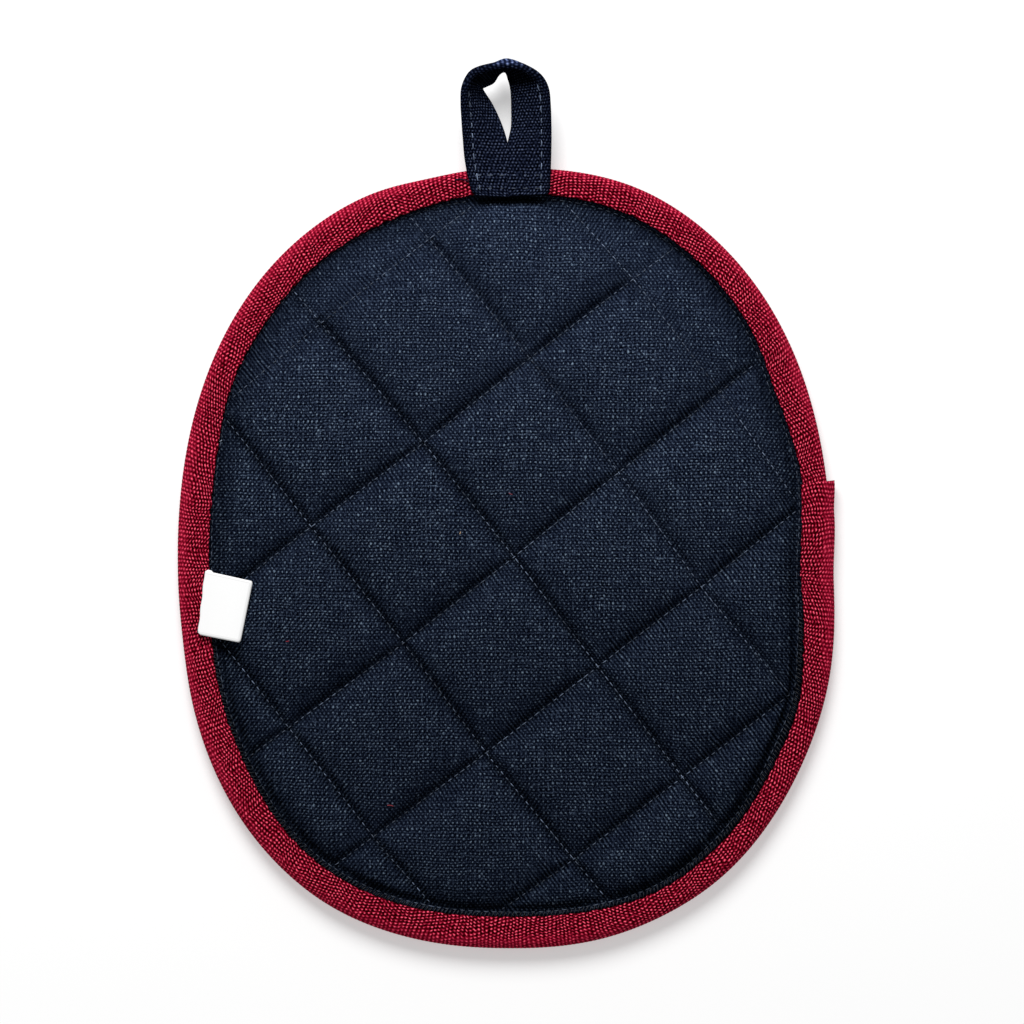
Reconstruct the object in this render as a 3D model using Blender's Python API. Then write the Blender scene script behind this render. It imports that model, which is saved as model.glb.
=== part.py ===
"""Oval quilted pot holder: a filled pad, a bound edge, a hanging loop and a small folded label.

The pad lies flat on z = 0 with its length along Y and the hanging loop at +Y.  Plan sizes below are
in millimetres from the middle of the oval; the finished part stands on the middle of its footprint.
"""

import math

import bmesh
import bpy
from mathutils import Vector
from mathutils.geometry import delaunay_2d_cdt

MM = 0.001

# --- the oval ------------------------------------------------------------------------------------
# Each oval is four quarter superellipses: half widths, half heights and the powers above and below.
# Its edge wanders: (angle in degrees, half width in degrees, how far out in mm).
RIM = {"left": 101.0, "right": 97.8, "top": 121.8, "bottom": 115.4, "power_up": 2.28, "power_down": 2.31}
RIM_WANDER = (
    (-18, 17, 1.75),
    (72, 10, 0.6),
    (102, 6, -0.9),
    (193, 9, -0.5),
    (242, 8, 0.25),
    (294, 9, -0.4),
)
TAPE_EDGE = {"left": 92.0, "right": 90.4, "top": 113.7, "bottom": 106.8, "power_up": 2.28, "power_down": 2.44}
TAPE_EDGE_WANDER = (
    (-25, 9, 1.8),
    (0, 7, -1.4),
    (17, 5, 0.7),
    (34, 7, -1.3),
    (75, 14, 1.0),
    (110, 12, -1.0),
    (146, 10, 1.4),
    (218, 12, -0.9),
    (294, 8, 0.6),
)

# --- heights -------------------------------------------------------------------------------------
MID_Z = 4.4                 # the pad's middle plane above the surface it lies on
CLEARANCE = 0.3             # between pieces that touch
SEAM_HALF = 1.6             # half the pad's thickness where it is sewn through
CROWN_UP = 2.9              # how far a puff rises over its seams
CROWN_DOWN = 4.0            # how far it would sag below them; the surface presses it flat
STEEP_REACH = 8.0           # width of the steep bank beside a seam
WIDE_REACH = 21.0           # width of the slow crown, half a diamond
STEEP_SHARE = 0.65
EDGE_HALF = 1.5             # half the pad's thickness inside the binding

# --- quilting ------------------------------------------------------------------------------------
# The two families of seams cross at right angles.  Turned by QUILT_TURN, the falling seams run along v
# and the rising seams along u.  A row holds one seam's place across, read at the stations along it.
QUILT_TURN = math.radians(38.0)
STATIONS = (-88, -44, 0, 44, 88)
FALLING_SEAMS = (
    (-79.8, -81.6, -81.7, -82.4, -83.1),
    (-38.2, -39.6, -39.3, -38.6, -38.8),
    (2.8, 3.2, 3.4, 4.0, 3.6),
    (45.7, 43.7, 45.3, 45.0, 43.0),
    (81.9, 83.1, 84.7, 85.8, 87.2),
)
RISING_SEAMS = (
    (-78.7, -81.2, -82.5, -83.4, -84.9),
    (-37.7, -39.6, -39.9, -40.4, -40.2),
    (3.9, 3.9, 3.1, 4.2, 3.6),
    (47.6, 48.6, 46.6, 47.7, 46.6),
    (90.8, 92.2, 92.8, 94.5, 96.4),
)
NEXT_SEAM = 43.0            # the seam that would come next, outside the pad
SHARES = (0.0, 0.06, 0.2, 0.5, 0.8, 0.94)   # where the mesh is divided between two seams
LEAST_DEPTH = 1.5           # the divided mesh stops this far inside the seam round the rim
RIM_SEAM_IN = 2.8           # the seam round the rim, inside the tape's edge
RIDGE_IN = 1.3              # the little ridge of cloth between that seam and the tape
RIDGE_UP = 0.5

# --- binding -------------------------------------------------------------------------------------
TAPE = 1.0                  # thickness of the tape
FOLD_ROOM = 0.35            # between the pad's edge and the tape folded round it
TAPE_INSIDE = EDGE_HALF + FOLD_ROOM         # inner radius of the fold
TAPE_OUTSIDE = TAPE_INSIDE + TAPE
RING_STEP = 3.75            # degrees between cross-sections
LAP_START = 9.4             # the tape starts here, under its own end
LAP_END = 375.3             # and ends here, one turn on
LAP_RAMP = 12.0             # degrees over which the end climbs over the start
LAP_FLARE = 1.1             # how far the loose end springs out
FOLD_PARTS = 6              # flats in the fold round the edge

# --- hanging loop --------------------------------------------------------------------------------
LOOP_TAPE = 2.0             # thickness, a folded tape
LOOP_EDGE = 0.7             # how far its edges are rounded off
LOOP_PARTS = 2              # cross-sections from one station to the next
# The tape's outer edge and inner edge, station by station from one end to the other, with how far
# the tape bellies outwards between them.
LOOP_STATIONS = (
    # outer x, y,   z;    inner x, y,     z,    belly
    (-11.2, 113.4, 8.6, -0.95, 112.7, 8.6, 0.0),
    (-12.5, 118.4, 8.6, -0.95, 118.4, 8.6, 0.0),
    (-13.6, 124.5, 9.0, -0.95, 124.5, 8.4, 0.0),
    (-14.1, 130.0, 10.2, -1.2, 129.7, 7.6, 0.0),
    (-14.4, 135.5, 12.3, -2.8, 135.5, 6.2, 0.0),
    (-14.5, 140.7, 14.4, -5.4, 141.2, 5.1, 0.2),
    (-14.0, 145.6, 16.2, -8.4, 145.9, 4.5, 0.4),
    (-11.9, 150.0, 17.0, -7.6, 147.4, 4.7, 0.6),
    (-8.6, 152.6, 17.4, -5.4, 148.9, 5.0, 0.9),
    (-4.5, 153.5, 17.6, -3.6, 150.6, 5.0, 1.5),
    (-0.3, 153.7, 17.6, -1.9, 151.9, 5.0, 1.9),
    (3.9, 153.3, 17.4, -0.9, 151.2, 5.3, 1.5),
    (7.8, 151.9, 16.6, -0.2, 149.2, 6.0, 0.8),
    (10.5, 149.2, 15.2, 0.3, 147.0, 6.6, 0.3),
    (12.1, 145.3, 13.9, 0.6, 144.1, 6.6, 0.0),
    (12.6, 140.3, 12.7, 0.7, 139.7, 6.2, 0.0),
    (12.8, 134.8, 11.6, 0.6, 134.5, 5.9, 0.0),
    (12.9, 129.4, 10.4, -0.3, 129.1, 7.2, 0.0),
    (12.8, 123.9, 9.2, -0.5, 123.9, 8.4, 0.0),
    (12.6, 118.4, 8.6, -0.5, 118.4, 8.6, 0.0),
    (12.4, 113.8, 8.6, -0.5, 112.7, 8.6, 0.0),
)

# --- label ---------------------------------------------------------------------------------------
# Its corners: the ends are at the left, over the binding, and the fold is at the right.
LABEL_CORNERS = {
    "top_left": (-92.7, -0.9),
    "top_right": (-78.0, -4.1),
    "bottom_right": (-81.8, -22.8),
    "bottom_left": (-94.9, -20.3),
}
LABEL_LAYER = 0.7           # thickness of each of its two layers
LABEL_GAP = 0.4             # between the layers
LABEL_RISE = 1.7            # how much higher it lies over the pad than over the binding
LABEL_PARTS = 6             # steps along its width
NOSE_PARTS = 4              # flats round its fold


def wander(angle, table):
    """Sum of the soft bumps in a table, at an angle in degrees."""
    total = 0.0
    for centre, half_width, height in table:
        away = (angle - centre + 180.0) % 360.0 - 180.0
        total += height * math.exp(-((away / half_width) ** 2))
    return total


def oval_radius(angle, oval, table):
    """Distance from the middle to an oval's edge, at an angle in degrees."""
    across = math.cos(math.radians(angle))
    along = math.sin(math.radians(angle))
    half_x = oval["right"] if across > 0 else oval["left"]
    half_y = oval["top"] if along > 0 else oval["bottom"]
    power = oval["power_up"] if along > 0 else oval["power_down"]
    radius = (abs(across / half_x) ** power + abs(along / half_y) ** power) ** (-1.0 / power)
    return radius + wander(angle, table)


def rim_radius(angle):
    return oval_radius(angle, RIM, RIM_WANDER)


def tape_edge_radius(angle):
    return oval_radius(angle, TAPE_EDGE, TAPE_EDGE_WANDER)


def smooth(share):
    """0 to 1 with a soft start and a soft end."""
    share = min(max(share, 0.0), 1.0)
    return share * share * (3.0 - 2.0 * share)


def bank(distance, reach):
    """0 on a seam, 1 at reach and beyond, steepest at the seam."""
    share = min(abs(distance) / reach, 1.0)
    return 1.0 - (1.0 - share) ** 2


def puff(distance):
    """Height of the filling at a distance from one seam, as a share of the crown."""
    return STEEP_SHARE * bank(distance, STEEP_REACH) + (1.0 - STEEP_SHARE) * bank(distance, WIDE_REACH)


def seam_place(row, station):
    """How far across a seam lies, at a place along it."""
    for index in range(len(STATIONS) - 1):
        first, last = STATIONS[index], STATIONS[index + 1]
        if station <= last or index == len(STATIONS) - 2:
            share = (station - first) / (last - first)
            return row[index] + (row[index + 1] - row[index]) * share


def to_quilt(x, y):
    """Plan point to the turned coordinates that the seams follow."""
    cos_turn, sin_turn = math.cos(QUILT_TURN), math.sin(QUILT_TURN)
    return x * cos_turn + y * sin_turn, y * cos_turn - x * sin_turn


def from_quilt(u, v):
    cos_turn, sin_turn = math.cos(QUILT_TURN), math.sin(QUILT_TURN)
    return u * cos_turn - v * sin_turn, u * sin_turn + v * cos_turn


def seam_distance(x, y):
    """Distances from a plan point to the nearest falling seam and the nearest rising seam."""
    u, v = to_quilt(x, y)
    falling = min(abs(u - seam_place(row, v)) for row in FALLING_SEAMS)
    rising = min(abs(v - seam_place(row, u)) for row in RISING_SEAMS)
    return falling, rising


def filling(x, y):
    """Share of the full crown at a plan point: nothing on a seam or outside the seam round the rim."""
    angle = math.degrees(math.atan2(y, x))
    inside = tape_edge_radius(angle) - RIM_SEAM_IN - math.hypot(x, y)
    if inside <= 0.0:
        return 0.0
    falling, rising = seam_distance(x, y)
    return puff(falling) * puff(rising) * puff(inside)


def ridge(x, y):
    """Rise of the cloth between the seam round the rim and the tape."""
    angle = math.degrees(math.atan2(y, x))
    inside = tape_edge_radius(angle) - math.hypot(x, y)
    return RIDGE_UP * max(0.0, 1.0 - abs(inside - RIDGE_IN) / (RIM_SEAM_IN - RIDGE_IN))


def pad_top(x, y):
    return MID_Z + SEAM_HALF + CROWN_UP * filling(x, y) + ridge(x, y)


def pad_bottom(x, y):
    return max(0.0, MID_Z - SEAM_HALF - CROWN_DOWN * filling(x, y) - ridge(x, y))


def ring_angles():
    """The angles of the cross-sections, one turn."""
    count = round(360.0 / RING_STEP)
    return [LAP_START + index * RING_STEP for index in range(count)]


def on_ring(angle, radius):
    turn = math.radians(angle)
    return (radius * math.cos(turn), radius * math.sin(turn))


def crossings():
    """Where the seams cross, with one further line of crossings outside the pad on each side."""
    def widened(rows):
        before = tuple(place - NEXT_SEAM for place in rows[0])
        after = tuple(place + NEXT_SEAM for place in rows[-1])
        return (before,) + tuple(rows) + (after,)

    grid = []
    for falling in widened(FALLING_SEAMS):
        line = []
        for rising in widened(RISING_SEAMS):
            u, v = falling[2], rising[2]
            for _ in range(3):
                u, v = seam_place(falling, v), seam_place(rising, u)
            line.append(Vector(from_quilt(u, v)))
        grid.append(line)
    return grid


def pad_plan():
    """Plan mesh of the pad: divided along its seams, with rings at the rim."""
    points = []
    edges = []
    grid = crossings()
    cells_u, cells_v = len(grid) - 1, len(grid[0]) - 1
    parts = len(SHARES)

    def grid_point(i, j):
        """Point i, j of the fine grid; every whole number of parts is a seam."""
        cell_i, cell_j = min(i // parts, cells_u - 1), min(j // parts, cells_v - 1)
        share_i = 1.0 if i == cells_u * parts else SHARES[i % parts]
        share_j = 1.0 if j == cells_v * parts else SHARES[j % parts]
        near = grid[cell_i][cell_j].lerp(grid[cell_i + 1][cell_j], share_i)
        far = grid[cell_i][cell_j + 1].lerp(grid[cell_i + 1][cell_j + 1], share_i)
        return near.lerp(far, share_j)

    def depth(point):
        """How far a point lies inside the seam round the rim."""
        angle = math.degrees(math.atan2(point.y, point.x))
        return tape_edge_radius(angle) - RIM_SEAM_IN - point.length

    index_of = {}
    for i in range(cells_u * parts + 1):
        for j in range(cells_v * parts + 1):
            point = grid_point(i, j)
            if depth(point) > LEAST_DEPTH:
                index_of[(i, j)] = len(points)
                points.append(point)
    for (i, j), index in index_of.items():
        if i % parts == 0 and (i, j + 1) in index_of:
            edges.append((index, index_of[(i, j + 1)]))
        if j % parts == 0 and (i + 1, j) in index_of:
            edges.append((index, index_of[(i + 1, j)]))

    rings = (
        lambda angle: tape_edge_radius(angle) - RIM_SEAM_IN,
        lambda angle: tape_edge_radius(angle) - RIDGE_IN,
        lambda angle: tape_edge_radius(angle) + CLEARANCE,
        lambda angle: rim_radius(angle) - TAPE_OUTSIDE,
    )
    outline = []
    for radius in rings:
        outline = []
        for angle in ring_angles():
            outline.append(len(points))
            points.append(Vector(on_ring(angle, radius(angle))))
        for place, index in enumerate(outline):
            edges.append((index, outline[(place + 1) % len(outline)]))
    inside_only = 1
    same_point = 1e-5
    plan, _, faces, source, _, _ = delaunay_2d_cdt(points, edges, [], inside_only, same_point)
    new_index = {old: new for new, olds in enumerate(source) for old in olds}
    return plan, faces, [new_index[old] for old in outline]


def quilted_pad():
    """One filled solid: two quilted faces joined round the edge."""
    plan, faces, outline = pad_plan()
    mesh = bmesh.new()
    on_edge = set(outline)
    top = []
    bottom = []
    for index, point in enumerate(plan):
        angle = math.degrees(math.atan2(point.y, point.x))
        covered = point.length > tape_edge_radius(angle)
        high = MID_Z + EDGE_HALF if covered else pad_top(point.x, point.y)
        low = MID_Z - EDGE_HALF if covered else pad_bottom(point.x, point.y)
        top.append(mesh.verts.new((point.x, point.y, high)))
        bottom.append(mesh.verts.new((point.x, point.y, low)))
    for face in faces:
        mesh.faces.new([top[index] for index in face])
        mesh.faces.new([bottom[index] for index in reversed(face)])
    middle = []
    for index in outline:
        point = plan[index]
        out = point.length + EDGE_HALF
        middle.append(mesh.verts.new((*(point.normalized() * out), MID_Z)))
    for place, index in enumerate(outline):
        after = (place + 1) % len(outline)
        following = outline[after]
        mesh.faces.new((top[following], top[index], middle[place], middle[after]))
        mesh.faces.new((middle[after], middle[place], bottom[index], bottom[following]))
    return mesh


def tape_section(turn):
    """Cross-section of the binding: radius and height, outside from top to bottom, then inside back."""
    over_start = LAP_START + 360.0
    climb = smooth((turn - over_start + LAP_RAMP) / LAP_RAMP)
    loose = smooth((turn - over_start) / (LAP_END - over_start))
    lift = (TAPE + CLEARANCE) * climb
    centre = rim_radius(turn) - TAPE_OUTSIDE + LAP_FLARE * loose
    edge = tape_edge_radius(turn) - CLEARANCE * climb
    points = []
    for radius, downward in ((TAPE_OUTSIDE + lift, True), (TAPE_INSIDE + lift, False)):
        arc = [math.radians(90.0 - 180.0 * part / FOLD_PARTS) for part in range(FOLD_PARTS + 1)]
        fold = [(centre + radius * math.cos(a), MID_Z + radius * math.sin(a)) for a in arc]
        side = [(edge, MID_Z + radius)] + fold + [(edge, MID_Z - radius)]
        points += side if downward else list(reversed(side))
    return points


def loft(mesh, sections):
    """Skin a row of equal cross-sections and close both ends."""
    rings = [[mesh.verts.new(point) for point in section] for section in sections]
    count = len(rings[0])
    for here, following in zip(rings, rings[1:]):
        for index in range(count):
            after = (index + 1) % count
            mesh.faces.new((here[index], here[after], following[after], following[index]))
    mesh.faces.new(list(reversed(rings[0])))
    mesh.faces.new(rings[-1])
    return rings


def binding():
    """Tape folded round the pad's edge, one turn and a little more, its end lapped over its start."""
    turns = [LAP_START]
    while turns[-1] + RING_STEP < LAP_END:
        turns.append(turns[-1] + RING_STEP)
    turns.append(LAP_END)
    sections = []
    for turn in turns:
        section = []
        for radius, height in tape_section(turn):
            x, y = on_ring(turn, radius)
            section.append((x, y, height))
        sections.append(section)
    mesh = bmesh.new()
    loft(mesh, sections)
    return mesh


def loop_section(outer, inner, belly, sideways):
    """Flat tape section between its two edges, bellied outwards, with thickness LOOP_TAPE."""
    across = (inner - outer).normalized()
    face = sideways.cross(across).normalized()
    line = []
    for share in (0.0, 0.5, 1.0):
        bulge = belly * (1.0 - (2.0 * share - 1.0) ** 2)
        line.append(outer.lerp(inner, share) + face * bulge)
    half = face * (LOOP_TAPE / 2)
    edge = across * LOOP_EDGE
    out_side = [line[0] + edge + half, line[1] + half, line[2] - edge + half]
    in_side = [line[2] - edge - half, line[1] - half, line[0] + edge - half]
    return out_side + [line[2]] + in_side + [line[0]]


def between(rows, place):
    """Row of a table at a place between its rows, on a smooth curve through them."""
    last = len(rows) - 1
    index = min(int(place), last - 1)
    share = place - index
    near, far = rows[index], rows[index + 1]
    before, after = rows[max(index - 1, 0)], rows[min(index + 2, last)]
    result = []
    for p0, p1, p2, p3 in zip(before, near, far, after):
        slope_near, slope_far = (p2 - p0) / 2, (p3 - p1) / 2
        bend = (1 - share) * slope_near - share * slope_far
        chord = p1 + (p2 - p1) * share
        twist = (1 - 2 * share) * (p2 - p1)
        result.append(chord + share * (1 - share) * (bend - twist))
    return result


def hanging_loop():
    """Tape sewn flat at both ends and turned up on edge round its eye."""
    last = (len(LOOP_STATIONS) - 1) * LOOP_PARTS
    rows = [between(LOOP_STATIONS, index / LOOP_PARTS) for index in range(last + 1)]
    outers = [Vector(row[0:3]) for row in rows]
    inners = [Vector(row[3:6]) for row in rows]
    middles = [(outer + inner) / 2 for outer, inner in zip(outers, inners)]
    sections = []
    for index, row in enumerate(rows):
        along = (middles[min(index + 1, last)] - middles[max(index - 1, 0)]).normalized()
        sections.append(loop_section(outers[index], inners[index], row[6], along))
    mesh = bmesh.new()
    loft(mesh, sections)
    return mesh


def label():
    """White tape folded once: two layers with the fold to the right, its ends on the binding."""
    low = MID_Z + TAPE_OUTSIDE + CLEARANCE
    fold = LABEL_LAYER + LABEL_GAP / 2
    sections = []
    for left, right in (("top_left", "top_right"), ("bottom_left", "bottom_right")):
        start, end = Vector(LABEL_CORNERS[left]), Vector(LABEL_CORNERS[right])
        width = (end - start).length
        heading = (end - start) / width
        steps = [(width - fold) * part / LABEL_PARTS for part in range(LABEL_PARTS + 1)]
        lies = [low + LABEL_RISE * smooth(step / width) for step in steps]
        turns = [math.pi * (part / NOSE_PARTS - 0.5) for part in range(1, NOSE_PARTS)]
        nose = [(steps[-1] + fold * math.cos(a), lies[-1] + fold + fold * math.sin(a)) for a in turns]
        outside = list(zip(steps, lies)) + nose
        outside += [(step, lie + 2 * fold) for step, lie in reversed(list(zip(steps, lies)))]
        inside = [(step, lie + LABEL_LAYER + LABEL_GAP) for step, lie in zip(steps, lies)]
        inside += [(step, lie + LABEL_LAYER) for step, lie in reversed(list(zip(steps, lies)))]
        section = []
        for along, height in outside + inside:
            x, y = start + heading * along
            section.append((x, y, height))
        sections.append(section)
    mesh = bmesh.new()
    loft(mesh, sections)
    return mesh


def base_shift(meshes):
    """Move that puts the middle of the whole footprint on the origin."""
    points = [vertex.co for mesh in meshes for vertex in mesh.verts]
    middle = [(min(p[axis] for p in points) + max(p[axis] for p in points)) / 2 for axis in (0, 1)]
    return Vector((-middle[0], -middle[1], 0.0))


def cloth(name, colour, roughness):
    material = bpy.data.materials.new(name)
    material.use_nodes = True
    shader = material.node_tree.nodes["Principled BSDF"]
    shader.inputs["Base Color"].default_value = (*colour, 1.0)
    shader.inputs["Roughness"].default_value = roughness
    shader.inputs["Metallic"].default_value = 0.0
    return material


def add_piece(name, mesh, material, shift):
    """Finish a mesh in metres, with its faces outwards, as one object."""
    bmesh.ops.translate(mesh, verts=mesh.verts, vec=shift)
    bmesh.ops.scale(mesh, verts=mesh.verts, vec=(MM, MM, MM))
    bmesh.ops.triangulate(mesh, faces=mesh.faces)
    bmesh.ops.recalc_face_normals(mesh, faces=mesh.faces)
    data = bpy.data.meshes.new(name)
    mesh.to_mesh(data)
    mesh.free()
    data.shade_smooth()
    data.set_sharp_from_angle(angle=math.radians(40))
    data.materials.append(material)
    piece = bpy.data.objects.new(name, data)
    bpy.context.scene.collection.objects.link(piece)
    return piece


def main():
    for old in list(bpy.data.objects):
        bpy.data.objects.remove(old, do_unlink=True)
    navy = (0.012, 0.017, 0.030)
    pieces = (
        ("quilted_pad", quilted_pad(), cloth("navy_canvas", navy, 0.9)),
        ("binding", binding(), cloth("red_ribbed_tape", (0.22, 0.010, 0.026), 0.8)),
        ("hanging_loop", hanging_loop(), cloth("navy_tape", navy, 0.85)),
        ("label", label(), cloth("white_label_tape", (0.9, 0.9, 0.9), 0.6)),
    )
    shift = base_shift([mesh for _, mesh, _ in pieces])
    for name, mesh, material in pieces:
        add_piece(name, mesh, material, shift)


main()
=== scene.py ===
"""Looks of an oval quilted pot holder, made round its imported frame.

Navy cotton canvas quilted in diamonds, a red ribbed binding tape with its end lapped at the right, a navy
hanging loop turned up on edge round its eye, a blank white label, sewing thread, a few specks of lint, and
the stage.  Plan sizes in the tables are millimetres from the middle of the oval.  Finished meshes are in
metres, in the frame.
"""

import math

import bmesh
import bpy
import numpy as np
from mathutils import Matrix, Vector, noise
from mathutils.geometry import delaunay_2d_cdt


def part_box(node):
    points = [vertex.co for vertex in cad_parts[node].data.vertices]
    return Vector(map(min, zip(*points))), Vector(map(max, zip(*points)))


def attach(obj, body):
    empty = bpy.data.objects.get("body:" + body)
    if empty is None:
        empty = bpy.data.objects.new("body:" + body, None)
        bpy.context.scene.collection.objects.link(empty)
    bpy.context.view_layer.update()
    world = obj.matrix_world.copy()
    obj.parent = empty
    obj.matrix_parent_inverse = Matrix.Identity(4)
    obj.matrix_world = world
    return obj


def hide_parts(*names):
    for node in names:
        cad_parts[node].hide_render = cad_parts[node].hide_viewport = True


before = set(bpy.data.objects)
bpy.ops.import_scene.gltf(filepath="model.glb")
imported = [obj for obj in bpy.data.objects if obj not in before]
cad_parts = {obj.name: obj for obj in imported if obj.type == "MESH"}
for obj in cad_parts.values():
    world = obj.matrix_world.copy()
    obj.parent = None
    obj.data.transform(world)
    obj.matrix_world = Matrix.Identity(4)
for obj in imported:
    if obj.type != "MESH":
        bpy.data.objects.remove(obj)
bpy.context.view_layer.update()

bl_info = {
    "name": "Quilted pot holder",
    "version": (1, 0, 0),
    "blender": (4, 5, 0),
    "location": "View3D > Sidebar > Pot Holder",
    "description": "Makes the looks of a quilted pot holder round its packed frame",
    "category": "Object",
}

MM = 0.001

# --- the oval ---
# Each oval is four quarter superellipses: half widths, half heights and the powers above and below.
# Its edge wanders: (angle in degrees, half width in degrees, how far out in mm).
RIM = {"left": 101.0, "right": 97.8, "top": 121.8, "bottom": 115.4, "power_up": 2.28, "power_down": 2.31}
RIM_WANDER = (
    (-18, 17, 1.75),
    (72, 10, 0.6),
    (102, 6, -0.9),
    (193, 9, -0.5),
    (242, 8, 0.25),
    (294, 9, -0.4),
)
TAPE_EDGE = {"left": 92.0, "right": 90.4, "top": 113.7, "bottom": 106.8, "power_up": 2.28, "power_down": 2.44}
TAPE_EDGE_WANDER = (
    (-25, 9, 1.8),
    (0, 7, -1.4),
    (17, 5, 0.7),
    (34, 7, -1.3),
    (75, 14, 1.0),
    (110, 12, -1.0),
    (146, 10, 1.4),
    (218, 12, -0.9),
    (294, 8, 0.6),
)

# --- heights in mm ---
MID_Z = 4.4  # the pad's middle plane above the surface it lies on
CLEARANCE = 0.3  # between pieces that touch
SEAM_HALF = 1.6  # half the pad's thickness where it is sewn through
CROWN_UP = 4.2  # how far a puff rises over its seams
CROWN_DOWN = 4.0  # how far it would sag below them; the surface presses it flat
STEEP_REACH = 8.5  # width of the steep bank above a seam, as the picture shows it
SOFT_REACH = 11.0  # width of the softer bank below it
SEAM_FLOOR = 0.7  # flat bottom between the two
WIDE_REACH = 21.0  # width of the slow crown, half a diamond
STEEP_SHARE = 0.62  # share of the height that the banks give; the slow crown gives the rest
RIM_STEEP = (0.5, 0.9)  # how steep the bank inside the rim is at the sides, and how much steeper below
EDGE_HALF = 1.5  # half the pad's thickness inside the binding

# --- quilting ---
# Turned by QUILT_TURN, the falling seams run along v and the rising seams along u.  A row holds one
# seam's place across, read at the stations along it.
QUILT_TURN = math.radians(38.0)
STATIONS = (-88, -44, 0, 44, 88)
FALLING_SEAMS = (
    (-79.8, -82.5, -82.3, -82.4, -83.1),
    (-38.3, -39.6, -38.8, -39.1, -39.4),
    (3.1, 3.5, 4.0, 3.7, 1.8),
    (44.7, 43.3, 45.0, 45.2, 43.5),
    (80.0, 82.0, 84.4, 84.9, 82.0),
)
RISING_SEAMS = (
    (-78.7, -81.4, -82.2, -82.5, -83.6),
    (-38.3, -39.4, -39.7, -40.0, -39.4),
    (3.9, 2.5, 2.4, 3.1, 3.5),
    (47.6, 47.9, 46.9, 47.3, 46.8),
    (92.0, 93.3, 94.9, 94.8, 94.5),
)
NEXT_SEAM = 43.0  # the seam that would come next, outside the pad
DIAMOND = 42.0  # side of a diamond
CLOSER = 0.5  # how much closer the points of the mesh lie beside a seam
LEAST_DEPTH = 1.2  # the divided mesh stops this far inside the seam round the rim
SEAM_REACH = 130.0  # a seam is drawn this far both ways, and then cut off where it leaves the pad
SEAM_STOPS = 1.0  # how far inside the seam round the rim its stitches stop
# The seam round the rim wanders: angle, and how far inside the tape's edge it lies.
RIM_SEAM = ((0, 1.2), (30, 1.6), (50, 1.8), (75, 1.6), (95, 1.2), (120, 0.9), (150, 0.9), (175, 1.1),
            (195, 1.5), (220, 2.1), (250, 1.9), (275, 1.6), (305, 2.1), (330, 2.3), (345, 1.9), (360, 1.2))
RIM_SEAM_IN = 2.1  # where it lies this far in, the cloth outside it stands up as a full ridge
RIM_SEWN = (97.0, 443.0)  # angles between which it shows: all but where the loop covers it
RIM_MEAN = 105.0  # its mean radius, which turns an angle into a distance along it
RIDGE_IN = 0.46  # share of the way to the seam at which that ridge is highest
RIDGE_UP = 0.7  # how high it is there, where it is full
OVERLOCK = (186.0, 350.0)  # angles between which the overlocking on the ridge shows
RING_POINTS = 900  # points in each ring of the mesh near the rim
TOP_RINGS = (1.2, 1.0, 0.82, 0.64, RIDGE_IN, 0.25, 0.0)  # the rings, as shares of the way to the seam
UNDER_RINGS = (1.0, RIDGE_IN, 0.0)
TUCKED_RING = 1.0  # and one ring this far under the tape
GROOVE = (1.2, 1.4)  # depth and reach of the narrow groove that the thread lies in
GROOVE_BELOW = 0.8  # how far it lies below the middle of its channel, in the picture
GROOVE_END = 2.0  # over how far it fades out inside the seam round the rim
GROOVE_LOST = 1.3  # how much of it a slack seam loses, for each share that it is slack
# How deep the falling seams are drawn in, from left to right: place across, and share of the groove.
FALLING_DRAWN = ((-80.0, 1.1), (-39.0, 1.3), (4.0, 1.25), (45.0, 0.6), (85.0, 0.8))
RIM_GROOVE = (3.0, 1.1)  # depth and reach of the groove round the rim, where that ridge is full
RIM_GROOVE_IN = 0.8  # how far inside its thread it lies
LOOP_DITCH = (0.3, 0.9)  # how far inside the rim's seam the ditch below the loop lies, and its reach
LOOP_DITCH_HALF = 11.0  # half its length
EDGE_DIP = (0.7, 0.45)  # depth and reach of the dip of the canvas at the tape's edge
TAKE_UP = (0.8, 3.0)  # extra cloth that each seam takes up, and the reach of that
# Puckers along a quilting seam and along the rim's: height, length, reach, and how unevenly they come.
QUILT_PUCKER = (0.2, 2.4, 1.6, 2.5)
RIM_PUCKER = (0.22, 6.4, 3.0, 3.0)
# How far beside the rising, falling and rim seams the sewing draws the floats out square to the seam, and
# how strongly.
GATHERS = ((6.0, 0.8), (3.8, 0.65), (5.5, 0.95))
GATHERS_UNEVEN = (0.85, 0.5, 14.0)  # how strong they are on the whole, how far that varies, and how slowly
PATCHES = (0.8, 5.0)  # how far the floats lean of themselves between the seams, and over what length
# Two places up the pad, and how far the quilting has sheared the canvas there, per metre from the middle.
SHEAR = ((-60.0, 60.0), (10.0, 2.0))
FILLING_LUMPS = (0.35, 26.0)  # height and length of the filling's unevenness
SLACK = (0.7, 62.0, 22.0)  # how far the seams beside the loop leave the filling up, from where, over how far
SLACK_ENDS = (90.0, 78.0, 7.0)  # how far along the others go slack, falling and rising, and over how far
SLACK_UP = (70.0, 8.0)  # the rising ones only near the loop: from this far up, and over how far

# --- painted shade on the canvas: in its seams, beside the tape, on the ridge and in the ditch below the loop ---
BELOW_FALLING = (1.6, 1.5, 0.15)  # how far below the falling seams the canvas is darkest, reach and share
THREAD_DARK = (0.52, 0.8)  # how much darker it is under the thread of each seam, and how far that reaches
TAPE_DARK = (0.5, 7.0)  # how much darker it is at the tape, and how far in that reaches
RIDGE_DARK = (0.68, 0.9)  # how much darker the ridge round the rim is, and how far past its seam that goes
DITCH_DARK = 0.9  # how much darker the ditch below the loop is

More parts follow.
